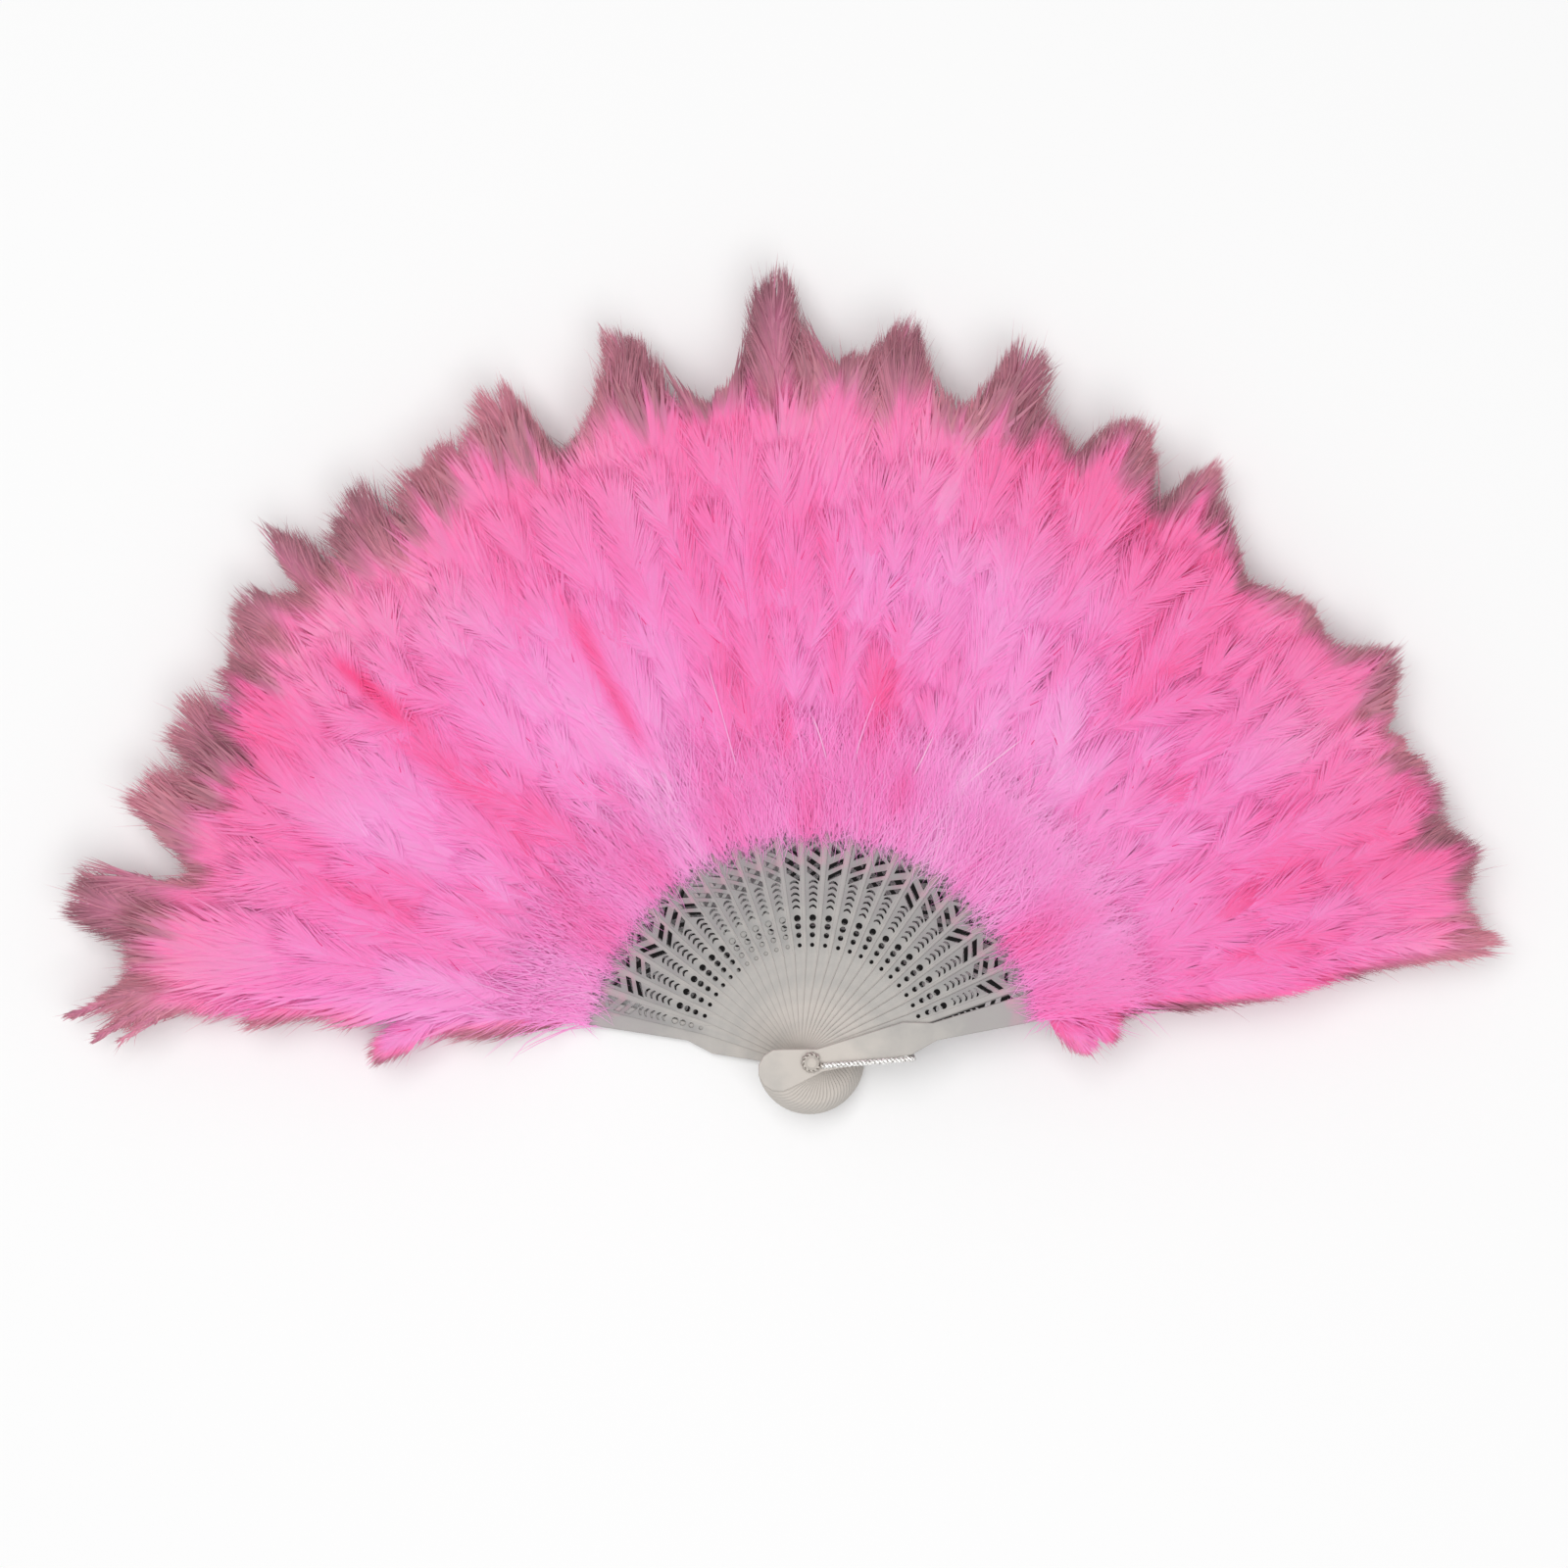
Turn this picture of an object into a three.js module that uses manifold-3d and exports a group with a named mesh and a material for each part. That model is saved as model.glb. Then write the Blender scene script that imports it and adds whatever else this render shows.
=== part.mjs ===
// A folding hand fan with pierced plastic sticks and pink feather plumes, lying open on a table.
// Sizes are in millimetres and angles in degrees, anticlockwise from +X as seen from above.
// The origin is on the rivet's axis at the table, +Y points at the middle plumes, and +Z is up.
// The sticks lie in flat layers, from the back guard at the bottom to the front guard on top,
// so that the fan closes about its rivet with no stick in the way of another.
import * as THREE from "three";
import { mergeVertices } from "three/addons/utils/BufferGeometryUtils.js";
import Module from "manifold-3d";

const wasm = await Module();
wasm.setup();

// How far the fan stands open
const innerStickCount = 25;
const backGuardAngle = 168;
const frontGuardAngle = 14;
const spreadWaveAngle = 1.6;
const spreadWaveShare = 0.62;

// Clearances
const layerGap = 0.3;
const pinClearance = 0.3;
const tongueClearance = 0.3;
const plumeGap = 0.3;
const cutOverrun = 1;

// Rivet
const pinRadius = 1.5;
const rivetLip = 1.2;
const rivetHeadHeight = 0.9;
const rivetCrown = 0.4;
const rivetCrownShare = 0.6;
const rivetSides = 14;
const pinHoleSides = 8;

// Bail, the wire loop that swings on the rivet's two ends
const bailWireDiameter = 1.8;
const bailReach = 36;
const bailCornerRadius = 4;
const bailEyeWall = 1.5;
const bailRestGap = 0.7;
const bailEyeSides = 12;
const bailWireSides = 8;
const bailCornerSteps = 4;

// Inner stick: a round head behind the rivet, then waist, neck, blade, shoulder and tongue in turn
const stickThickness = 0.7;
const headReach = 19.4;
const headRadius = 7.6;
const headArcAngle = 114;
const headArcSteps = 4;
const stickWaistAt = 3;
const stickWaistHalfWidth = 3.8;
const neckLength = 35;
const bladeStartHalfWidth = 4.1;
const bladeRiseLength = 38;
const bladeWidestHalfWidth = 7.5;
const bladeCrestLength = 7;
const shoulderLength = 6;
const tongueHalfWidth = 1.6;
const tongueLength = 101;
const tongueTipHalfWidth = 1;

// Pierced pattern of a stick, in each half of its blade between the solid midrib and the rim
const ribHalfWidth = 1.1;
const rimWidth = 0.9;
const slotWidth = 1.1;
const dotStationShares = [0.07, 0.14, 0.21, 0.285];
const dotRadiusShares = [0.45, 0.5, 0.55, 0.6];
const dotSides = 4;
const archStationShare = 0.42;
const openingSlotShares = [0.575, 0.66];
const wedgeHoleShares = [0.755, 0.8, 0.855];
const closingSlotShares = [0.885, 0.945];

// Guard stick, with a flared grip that steps in to a slim blade
const guardThickness = 1.4;
const guardChamfer = 0.25;
const guardWaistHalfWidth = 4.1;
const gripLength = 32;
const gripFlareHalfWidth = 6;
const gripStepLength = 10;
const gripStepHalfWidth = 3.2;
const guardNeckLength = 17;
const guardBladeHalfWidth = 4.1;
const guardBladeEndHalfWidth = 5.3;

// Plumes, one glued round each stick's tongue
const plumeTipLength = 95;
const plumeCover = 1.6;
const plumeRootDepth = 3;
const plumeBellyShare = 0.5;
const sideCrownShare = 0.1;
const spillCrownShare = 0.45;
const backSpill = 36;
const frontSpill = 22;

// Length of each plume's tip beyond its tongue, from the back guard's to the front guard's
const plumeTipShares = [
  0.87, 0.8, 0.76, 0.67, 0.75, 0.82, 0.79, 0.71, 0.72,
  0.8, 0.8, 0.86, 0.93, 1, 0.86, 0.82, 0.83, 0.74,
  0.7, 0.74, 0.59, 0.54, 0.63, 0.65, 0.56, 0.6, 0.65,
];

// Edges of a plume from its root to its tip, as shares of its length and of the room on that side
const leftEdgeShares = [
  [0, 0.8], [0.18, 1], [0.5, 1], [0.76, 1],
  [0.83, 0.82], [0.9, 0.66], [0.95, 0.32], [1, 0.1],
];
const rightEdgeShares = [
  [0, 0.8], [0.18, 1], [0.5, 1], [0.79, 1],
  [0.84, 0.8], [0.9, 0.6], [0.97, 0.34], [1, 0.1],
];
const spillEdgeShares = [
  [0, 0.3], [0.12, 0.75], [0.32, 1], [0.62, 0.84],
  [0.88, 1], [0.92, 0.6], [0.96, 0.3], [1, 0.1],
];

// Underside and top of a plume beyond its root, as shares of its length and of the plumes' height
const plumeDepthShares = [[0.18, 0, 1], [0.6, 0, 1], [0.8, 0.08, 0.95], [1, 0.5, 0.72]];

// Places along a stick, measured from the rivet
const bladeStart = stickWaistAt + neckLength;
const bladeWidest = bladeStart + bladeRiseLength;
const bladeEnd = bladeWidest + bladeCrestLength;
const tongueStart = bladeEnd + shoulderLength;
const tongueEnd = tongueStart + tongueLength;
const gripFlareAt = stickWaistAt + gripLength;
const gripStepAt = gripFlareAt + gripStepLength;
const guardBladeAt = gripStepAt + guardNeckLength;

// Heights of the layers above the table
const stickPitch = stickThickness + layerGap;
const lowerEyeLevel = rivetHeadHeight + layerGap;
const backGuardLevel = lowerEyeLevel + bailWireDiameter + layerGap;
const firstStickLevel = backGuardLevel + guardThickness + layerGap;
const frontGuardLevel = firstStickLevel + innerStickCount * stickPitch;
const upperEyeLevel = frontGuardLevel + guardThickness + layerGap;
const rivetTopLevel = upperEyeLevel + bailWireDiameter + layerGap;
const plumeTop = frontGuardLevel + guardThickness + plumeCover;

// Widths that follow from the sizes above
const pinHoleRadius = (pinRadius + pinClearance) / Math.cos(Math.PI / pinHoleSides);
const bailEyeRadius = pinHoleRadius + bailEyeWall;
const plumeStart = tongueStart + tongueClearance;
const lastStick = innerStickCount + 1;

// The open fan's bail lies beside the front guard's grip
const bailOffset = gripFlareHalfWidth + bailRestGap + bailWireDiameter / 2;
const bailAngle = frontGuardAngle - THREE.MathUtils.radToDeg(Math.asin(bailOffset / bailReach));

const stickPlastic = new THREE.MeshStandardMaterial({ color: 0xd9d3cb, roughness: 0.35, metalness: 0 });
const guardPlastic = new THREE.MeshStandardMaterial({ color: 0xd2cbc4, roughness: 0.35, metalness: 0 });
const rivetMetal = new THREE.MeshStandardMaterial({ color: 0xc9c5bf, roughness: 0.35, metalness: 0.8 });
const bailMetal = new THREE.MeshStandardMaterial({ color: 0xd8d6d2, roughness: 0.3, metalness: 0.8 });
const feather = new THREE.MeshStandardMaterial({ color: 0xfb6bb0, roughness: 0.95, metalness: 0 });

// Direction of a stick, counted from the back guard at 0, with a slow wave in the spacing
function stickAngle(index) {
  const even = backGuardAngle - (index / lastStick) * (backGuardAngle - frontGuardAngle);
  const wavePhase = index / (lastStick * spreadWaveShare);
  return wavePhase < 1 ? even - spreadWaveAngle * Math.sin(2 * Math.PI * wavePhase) : even;
}

function toSolid(geometry) {
  const bare = geometry.clone();
  bare.deleteAttribute("normal");
  bare.deleteAttribute("uv");
  const merged = mergeVertices(bare);
  const mesh = new wasm.Mesh({
    numProp: 3,
    vertProperties: new Float32Array(merged.attributes.position.array),
    triVerts: new Uint32Array(merged.index.array),
  });
  return new wasm.Manifold(mesh);
}

function toGeometry(solid) {
  const mesh = solid.getMesh();
  const geometry = new THREE.BufferGeometry();
  geometry.setAttribute("position", new THREE.BufferAttribute(new Float32Array(mesh.vertProperties), 3));
  geometry.setIndex(new THREE.BufferAttribute(new Uint32Array(mesh.triVerts), 1));
  return geometry;
}

function toPath(points) {
  return new THREE.Path(points.map(([x, y]) => new THREE.Vector2(x, y)));
}

function roundHole(radius, sides) {
  const points = [];
  for (let side = 0; side < sides; side += 1) {
    const turn = (2 * Math.PI * side) / sides;
    points.push([radius * Math.cos(turn), radius * Math.sin(turn)]);
  }
  return points;
}

function plate(outline, holes, thickness, chamfer = 0) {
  const shape = new THREE.Shape(outline.map(([x, y]) => new THREE.Vector2(x, y)));
  shape.holes = holes.map(toPath);
  return new THREE.ExtrudeGeometry(shape, {
    depth: thickness - 2 * chamfer,
    bevelEnabled: chamfer > 0,
    bevelThickness: chamfer,
    bevelSize: chamfer,
    bevelOffset: -chamfer,
    bevelSegments: 1,
  }).translate(0, 0, chamfer);
}

// Upper side of the round head, from its end on the axis to where the grip begins
function headArc() {
  const centre = headRadius - headReach;
  const points = [[-headReach, 0]];
  for (let step = 1; step <= headArcSteps; step += 1) {
    const turn = Math.PI - THREE.MathUtils.degToRad((headArcAngle * step) / headArcSteps);
    points.push([centre + headRadius * Math.cos(turn), headRadius * Math.sin(turn)]);
  }
  return points;
}

// The whole outline, anticlockwise from the head's end
function mirroredOutline(stations) {
  const upper = [...headArc(), ...stations];
  const lower = upper.map(([x, y]) => [x, -y]);
  return [...lower, ...upper.slice(1).reverse()];
}

const stickStations = [
  [stickWaistAt, stickWaistHalfWidth],
  [bladeStart, bladeStartHalfWidth],
  [bladeWidest, bladeWidestHalfWidth],
  [bladeEnd, bladeWidestHalfWidth],
  [tongueStart, tongueHalfWidth],
  [tongueEnd, tongueTipHalfWidth],
];

const guardStations = [
  [stickWaistAt, guardWaistHalfWidth],
  [gripFlareAt, gripFlareHalfWidth],
  [gripStepAt, gripStepHalfWidth],
  [guardBladeAt, guardBladeHalfWidth],
  [bladeEnd, guardBladeEndHalfWidth],
  [tongueStart, tongueHalfWidth],
  [tongueEnd, tongueTipHalfWidth],
];

// Half the width of an inner stick's blade at a distance from the rivet
function bladeHalfWidth(station) {
  const rise = (station - bladeStart) / (bladeWidest - bladeStart);
  return THREE.MathUtils.lerp(bladeStartHalfWidth, bladeWidestHalfWidth, Math.min(rise, 1));
}

// A point of the pattern: along share runs from 0 to 1 down the blade, across share from midrib to rim
function patternPoint(alongShare, acrossShare) {
  const x = THREE.MathUtils.lerp(bladeStart, bladeEnd, alongShare);
  const outer = bladeHalfWidth(x) - rimWidth;
  return [x, THREE.MathUtils.lerp(ribHalfWidth, outer, acrossShare)];
}

function dotHole(alongShare, radiusShare) {
  const [x, y] = patternPoint(alongShare, 0.5);
  const radius = (y - ribHalfWidth) * radiusShare;
  return roundHole(radius, dotSides).map(([dx, dy]) => [x + dx, y + dy]);
}

function slotHole([x0, y0], [x1, y1]) {
  const half = slotWidth / 2;
  return [[x0 - half, y0], [x0 + half, y0], [x1 + half, y1], [x1 - half, y1]];
}

// The holes in one half of the blade: dots, an arch bar, a slot that opens from the midrib,
// a wedge and a slot that closes towards the midrib
function halfPattern() {
  const dots = dotStationShares.map((share, index) => dotHole(share, dotRadiusShares[index]));
  const arch = slotHole(patternPoint(archStationShare, 0.15), patternPoint(archStationShare, 0.85));
  const [openingFrom, openingTo] = openingSlotShares;
  const opening = slotHole(patternPoint(openingFrom, 0), patternPoint(openingTo, 1));
  const [wedgeFrom, wedgeTip, wedgeTo] = wedgeHoleShares;
  const wedge = [patternPoint(wedgeFrom, 0.05), patternPoint(wedgeTip, 0.8), patternPoint(wedgeTo, 0.05)];
  const [closingFrom, closingTo] = closingSlotShares;
  const closing = slotHole(patternPoint(closingFrom, 1), patternPoint(closingTo, 0.1));
  return [...dots, arch, opening, wedge, closing];
}

function innerStick() {
  const upper = halfPattern();
  const lower = upper.map((hole) => hole.map(([x, y]) => [x, -y]));
  const pinHole = roundHole(pinHoleRadius, pinHoleSides);
  return plate(mirroredOutline(stickStations), [pinHole, ...upper, ...lower], stickThickness);
}

function guardStick() {
  const pinHole = roundHole(pinHoleRadius, pinHoleSides);
  return plate(mirroredOutline(guardStations), [pinHole], guardThickness, guardChamfer);
}

// Pin with a flat head below and a crowned head above
function rivet() {
  const headRadius = pinRadius + rivetLip;
  const top = rivetTopLevel + rivetHeadHeight;
  const profile = [
    [0, 0],
    [headRadius, 0],
    [headRadius, rivetHeadHeight],
    [pinRadius, rivetHeadHeight],
    [pinRadius, rivetTopLevel],
    [headRadius, rivetTopLevel],
    [headRadius, top - rivetCrown],
    [headRadius * rivetCrownShare, top],
    [0, top],
  ];
  const points = profile.map(([radius, height]) => new THREE.Vector2(radius, height));
  return new THREE.LatheGeometry(points, rivetSides).rotateX(Math.PI / 2);
}

// Middle line of the bail's wire in the XZ plane, from the lower eye out, up and back to the upper eye
function bailRoute() {
  const low = lowerEyeLevel + bailWireDiameter / 2;
  const high = upperEyeLevel + bailWireDiameter / 2;
  const inner = bailReach - bailCornerRadius;
  const eyeMiddle = (pinHoleRadius + bailEyeRadius) / 2;
  const route = [[eyeMiddle, low]];
  for (let step = 0; step <= bailCornerSteps; step += 1) {
    const turn = (Math.PI / 2) * (step / bailCornerSteps - 1);
    route.push([inner + bailCornerRadius * Math.cos(turn), low + bailCornerRadius * (1 + Math.sin(turn))]);
  }
  for (let step = 0; step <= bailCornerSteps; step += 1) {
    const turn = (Math.PI / 2) * (step / bailCornerSteps);
    route.push([inner + bailCornerRadius * Math.cos(turn), high - bailCornerRadius * (1 - Math.sin(turn))]);
  }
  route.push([eyeMiddle, high]);
  return route.map(([x, z]) => new THREE.Vector3(x, 0, z));
}

// A round wire along a route in the XZ plane
function wire(route, diameter, sides) {
  const sideways = new THREE.Vector3(0, 1, 0);
  return lofted(route.map((point, index) => {
    const before = route[Math.max(index - 1, 0)];
    const after = route[Math.min(index + 1, route.length - 1)];
    const across = new THREE.Vector3().subVectors(after, before).normalize().cross(sideways);
    return roundHole(diameter / 2, sides).map(([y, z]) => {
      const rim = point.clone().addScaledVector(sideways, y).addScaledVector(across, z);
      return rim.toArray();
    });
  }));
}

// A closed body through rings of points, which run anticlockwise as seen from the last ring's end
function lofted(rings) {
  const sides = rings[0].length;
  const indices = [];
  for (let ring = 0; ring < rings.length - 1; ring += 1) {
    for (let side = 0; side < sides; side += 1) {
      const next = (side + 1) % sides;
      const near = ring * sides;
      const far = near + sides;
      indices.push(near + side, near + next, far + next, near + side, far + next, far + side);
    }
  }
  const last = (rings.length - 1) * sides;
  for (let side = 1; side < sides - 1; side += 1) {
    indices.push(0, side + 1, side, last, last + side, last + side + 1);
  }
  const geometry = new THREE.BufferGeometry();
  geometry.setAttribute("position", new THREE.Float32BufferAttribute(rings.flat(2), 3));
  geometry.setIndex(indices);
  return geometry;
}

function bail() {
  const pinHole = roundHole(pinHoleRadius, pinHoleSides);
  const eye = plate(roundHole(bailEyeRadius, bailEyeSides), [pinHole], bailWireDiameter);
  const lowerEye = toSolid(eye.clone().translate(0, 0, lowerEyeLevel));
  const upperEye = toSolid(eye.translate(0, 0, upperEyeLevel));
  const loop = toSolid(wire(bailRoute(), bailWireDiameter, bailWireSides));
  return toGeometry(loop.add(lowerEye).add(upperEye));
}

// Room for a plume on one side of its stick, up to the line halfway to the neighbour at that angle
function sectorRoom(neighbourAngle) {
  const half = THREE.MathUtils.degToRad(neighbourAngle / 2);
  return (x) => x * Math.tan(half) - plumeGap / 2 / Math.cos(half);
}

// Underside and top of a plume at a share of its length, from close round its stick to the full height
function plumeDepth(alongShare, level, thickness) {
  const rootLow = Math.max(level - plumeRootDepth, 0);
  const rootHigh = Math.min(level + thickness + plumeRootDepth, plumeTop);
  const beyond = plumeDepthShares.map(([share, low, high]) => [share, low * plumeTop, high * plumeTop]);
  const stations = [[0, rootLow, rootHigh], ...beyond];
  const after = Math.max(stations.findIndex(([share]) => share >= alongShare), 1);
  const [startShare, startLow, startHigh] = stations[after - 1];
  const [endShare, endLow, endHigh] = stations[after];
  const part = (alongShare - startShare) / (endShare - startShare);
  return [THREE.MathUtils.lerp(startLow, endLow, part), THREE.MathUtils.lerp(startHigh, endHigh, part)];
}

// One edge of a plume: at each station its upper, belly and lower points
function plumeEdge({ shares, room, crownShare, side }, reach, level, thickness) {
  return shares.map(([alongShare, widthShare]) => {
    const x = THREE.MathUtils.lerp(plumeStart, reach, alongShare);
    const y = side * widthShare * room(x);
    const [low, high] = plumeDepth(alongShare, level, thickness);
    const drawnIn = y * (1 - crownShare);
    return [[x, drawnIn, high], [x, y, THREE.MathUtils.lerp(low, high, plumeBellyShare)], [x, drawnIn, low]];
  });
}

// Pocket for a stick's tongue, open at the plume's root
function tonguePocket(level, thickness) {
  const length = tongueEnd + tongueClearance - plumeStart + cutOverrun;
  const pocket = new THREE.BoxGeometry(
    length,
    2 * (tongueHalfWidth + tongueClearance),
    thickness + 2 * tongueClearance,
  );
  return pocket.translate(plumeStart - cutOverrun + length / 2, 0, level + thickness / 2);
}

function plume(index, level, thickness) {
  const reach = tongueEnd + plumeTipLength * plumeTipShares[index % plumeTipShares.length];
  const spill = (width) => ({ shares: spillEdgeShares, room: () => width, crownShare: spillCrownShare });
  const inner = (shares, neighbour) => ({
    shares,
    room: sectorRoom(Math.abs(stickAngle(index) - stickAngle(neighbour))),
    crownShare: sideCrownShare,
  });
  const leftForm = index === 0 ? spill(backSpill) : inner(leftEdgeShares, index - 1);
  const rightForm = index === lastStick ? spill(frontSpill) : inner(rightEdgeShares, index + 1);
  const left = plumeEdge({ ...leftForm, side: 1 }, reach, level, thickness);
  const right = plumeEdge({ ...rightForm, side: -1 }, reach, level, thickness);
  const rings = left.map(([upper, belly, lower], station) => {
    const [rightUpper, rightBelly, rightLower] = right[station];
    return [belly, upper, rightUpper, rightBelly, rightLower, lower];
  });
  return toGeometry(toSolid(lofted(rings)).subtract(toSolid(tonguePocket(level, thickness))));
}

function named(name, geometry, material) {
  const mesh = new THREE.Mesh(geometry, material);
  mesh.name = name;
  return mesh;
}

// A stick and its plume, turned together to the stick's place in the spread
function stickGroup(index, names, geometry, material, level, thickness) {
  const stick = named(names.stick, geometry, material);
  stick.position.z = level;
  const group = new THREE.Group();
  group.add(stick, named(names.plume, plume(index, level, thickness), feather));
  group.rotation.z = THREE.MathUtils.degToRad(stickAngle(index));
  return group;
}

function buildFan() {
  const fan = new THREE.Group();
  const backNames = { stick: "back_guard", plume: "back_guard_plume" };
  const frontNames = { stick: "front_guard", plume: "front_guard_plume" };
  fan.add(stickGroup(0, backNames, guardStick(), guardPlastic, backGuardLevel, guardThickness));
  for (let index = 1; index <= innerStickCount; index += 1) {
    const number = String(index).padStart(2, "0");
    const names = { stick: `stick_${number}`, plume: `plume_${number}` };
    const level = firstStickLevel + (index - 1) * stickPitch;
    fan.add(stickGroup(index, names, innerStick(), stickPlastic, level, stickThickness));
  }
  fan.add(stickGroup(lastStick, frontNames, guardStick(), guardPlastic, frontGuardLevel, guardThickness));
  fan.add(named("rivet", rivet(), rivetMetal));
  const loop = named("bail", bail(), bailMetal);
  loop.rotation.z = THREE.MathUtils.degToRad(bailAngle);
  fan.add(loop);
  return fan;
}

export default buildFan();
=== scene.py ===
"""The looks of a pink feather folding fan, lying open on a pale table and seen from straight above.

Sizes are in millimetres and angles in degrees until a mesh is made. Places along a stick are measured
from the rivet. Each plume is a bunch of feathers on one stick: quills with many flat, tapered barbs.
"""
import math
from collections import namedtuple

import bmesh
import bpy
import numpy as np
from mathutils import Matrix, Vector


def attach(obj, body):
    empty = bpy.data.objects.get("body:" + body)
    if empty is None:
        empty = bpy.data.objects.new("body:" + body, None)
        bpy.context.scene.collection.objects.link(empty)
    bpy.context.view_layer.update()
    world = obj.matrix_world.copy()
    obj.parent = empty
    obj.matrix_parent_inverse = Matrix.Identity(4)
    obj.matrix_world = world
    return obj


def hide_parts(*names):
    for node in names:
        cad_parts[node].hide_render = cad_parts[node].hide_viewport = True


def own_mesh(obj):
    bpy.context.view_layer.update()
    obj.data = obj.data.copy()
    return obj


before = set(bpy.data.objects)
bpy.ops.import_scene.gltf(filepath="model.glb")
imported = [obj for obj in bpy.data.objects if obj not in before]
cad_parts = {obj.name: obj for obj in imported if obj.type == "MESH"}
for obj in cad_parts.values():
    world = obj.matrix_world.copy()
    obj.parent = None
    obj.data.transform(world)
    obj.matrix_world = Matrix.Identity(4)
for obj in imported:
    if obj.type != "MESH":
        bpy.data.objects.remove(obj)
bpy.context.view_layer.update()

MM = 0.001
SEED = 7
TINY = 1e-9

# Lamps, with places in metres and powers in watts, and the world's light
KEY_LIGHT = (-0.55, 0.5, 2.9), 41.5
FILL_LIGHT = (0.6, -0.9, 2.7), 26.5
LIGHT_SIZE = 1.8
WORLD_STRENGTH = 0.35
TABLE_HALF = 3
TABLE_SHADE = 0.97

# The photograph's frame: its width, the rivet's pixel in it, and the scale that the size was taken from
FRAME_PIXELS = 1600
RIVET_PIXEL = (828, 1082)
PIXEL_SIZE = 0.35
CAMERA_LENS = 100
CAMERA_SENSOR = 36
CAMERA_AIM_HEIGHT = 20

# Inner stick's outline, as the CAD sticks have it
STICK_THICKNESS = 0.7
HEAD_REACH = 19.4
HEAD_RADIUS = 7.6
HEAD_ARC_ANGLE = 114
WAIST_AT, WAIST_HALF = 3, 3.8
BLADE_START, BLADE_START_HALF = 38, 4.1
BLADE_WIDEST, BLADE_HALF = 76, 7.5
BLADE_END = 83
TONGUE_START, TONGUE_HALF = 89, 1.6
TONGUE_END, TONGUE_TIP_HALF = 190, 1
PIN_HOLE_RADIUS, PIN_HOLE_SIDES = 1.95, 24
EDGE_BEVEL = 0.08
TIP_DEPTH = 1

# Pierced pattern between the midrib and the rim, places as shares of the blade
RIB_HALF = 1.3
RIM_WIDTH = 0.9
DOT_SHARES = (0.07, 0.15, 0.22, 0.285)
DOT_RADII = (0.75, 0.95, 1.1, 1.2)
DOT_SIDES = 14
ARC_SHARES = (0.365, 0.415, 0.465, 0.515, 0.56)
ARC_WIDTH = 0.65
ARC_RISE = 0.9
ARC_ENDS_SHARES = (0.12, 0.88)
ARC_INNER_RISE_SHARE = 0.8
SLASHES_OUT_SHARES = ((0.60, 0.67), (0.685, 0.755))
SLASHES_IN_SHARES = ((0.86, 0.93), (0.93, 1.0))
SLASH_WIDTH = 2.1
WEDGE_SHARES = (0.77, 0.875)
WEDGE_BASE_SHARE, WEDGE_DEPTH_SHARE = 0.06, 0.76
PATTERN_STAGGER = 1.8

# Painted shade on the upper face under the next stick's holes: its ends, how fast it fades there, and where
# it starts across
PATTERN_FROM, PATTERN_TO = 37, 77
PATTERN_FADE = 1
HOLE_SHADE_FROM, HOLE_SHADE_TO = 0.8, 1.6
FACE_UP_RANGE = (0.5, 0.9)

# Sticks whose slanted holes lean the other way, and those whose holes show only pale plastic under them, as
# the stick below has no painted shade
MIRRORED_STICKS = (2, 3, 5, 6, 15, 16, 17, 18, 22, 25)
FAINT_STICKS = (8, 9, 10, 11, 12)

# Low rib along the middle of a blade
RIB_FROM, RIB_TO = 36, 88
RIB_POINT = 4
RIB_TOP_HALF = 1
RIB_HEIGHT = 0.2

# Bail, two twisted strands of wire
BAIL_DIAMETER = 1.8
BAIL_CORNER = 4
BAIL_EYE_RADIUS = 2.7
BAIL_PLAIN_WITHIN = 3.7
BAIL_STRAND_RADIUS = 0.56
BAIL_TWIST_PITCH = 3
BAIL_STATION = 0.3
BAIL_EYE_ENDS = (30, 330)
BAIL_EYE_STATIONS = 16
BAIL_BEND_STATIONS = 7

# A direction that no wire runs along
SKEW = (0.31, 0.17, 0.93)

# Looks of the metal, with colours from 0 to 255. A noise makes flecks of the dark colour: those below its
# first value are darkest, and there are none above its second.
RIVET_COLOUR, RIVET_DARK, RIVET_ROUGHNESS, RIVET_GRAIN = (180, 173, 166), (168, 162, 155), 0.65, 600
WIRE_COLOUR, WIRE_DARK, WIRE_ROUGHNESS, WIRE_GRAIN = (246, 245, 243), (172, 168, 164), 0.35, 1400
METAL_FLECKS = (0.38, 0.55)
METAL_FADE = 1
METALLIC = 0.6
GLOSS_SPREAD = 0.1

# Looks of the plastic. Colour stops have a place from 0 to 1, then red, green and blue from 0 to 255.
PLASTIC_SPECULAR = 0.35
PLASTIC_ROUGHNESS = (0.28, 0.42)
PLASTIC_THROUGH = 0.1
PLASTIC_CLOUD_SCALE, PLASTIC_CLOUD_DETAIL = 120, 4
PLASTIC_CLOUD_RANGE = (0.3, 0.7)
PLASTIC_STRAY_SHARE = 0.12
PLASTIC_SHADE_END = 90
# Warm and dense at the handle, then painted shade that greys the plastic outwards, and a painted pink light
# of the down showing through at the blades' ends
PLASTIC_TONE_AND_SHADE_STOPS = (
    (0.1, 208, 200, 192), (0.35, 190, 185, 179), (0.6, 172, 168, 165),
    (0.8, 170, 163, 163), (0.93, 192, 156, 168), (1, 218, 148, 172),
)
# Painted shade that greys the thin plastic beside the rib, and its colour stops
THIN_PLASTIC_FROM, THIN_PLASTIC_TO = 1, 2.2
THIN_PLASTIC_SHADE_STOPS = (
    (0.1, 206, 198, 190), (0.35, 182, 178, 173), (0.6, 154, 152, 150),
    (0.8, 148, 141, 143), (0.93, 172, 130, 145), (1, 202, 122, 150),
)
# Painted shade on the covered half's upper face, which shows dark through the next stick's holes
HOLE_SHADE_COLOUR = (18, 16, 17)
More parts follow.
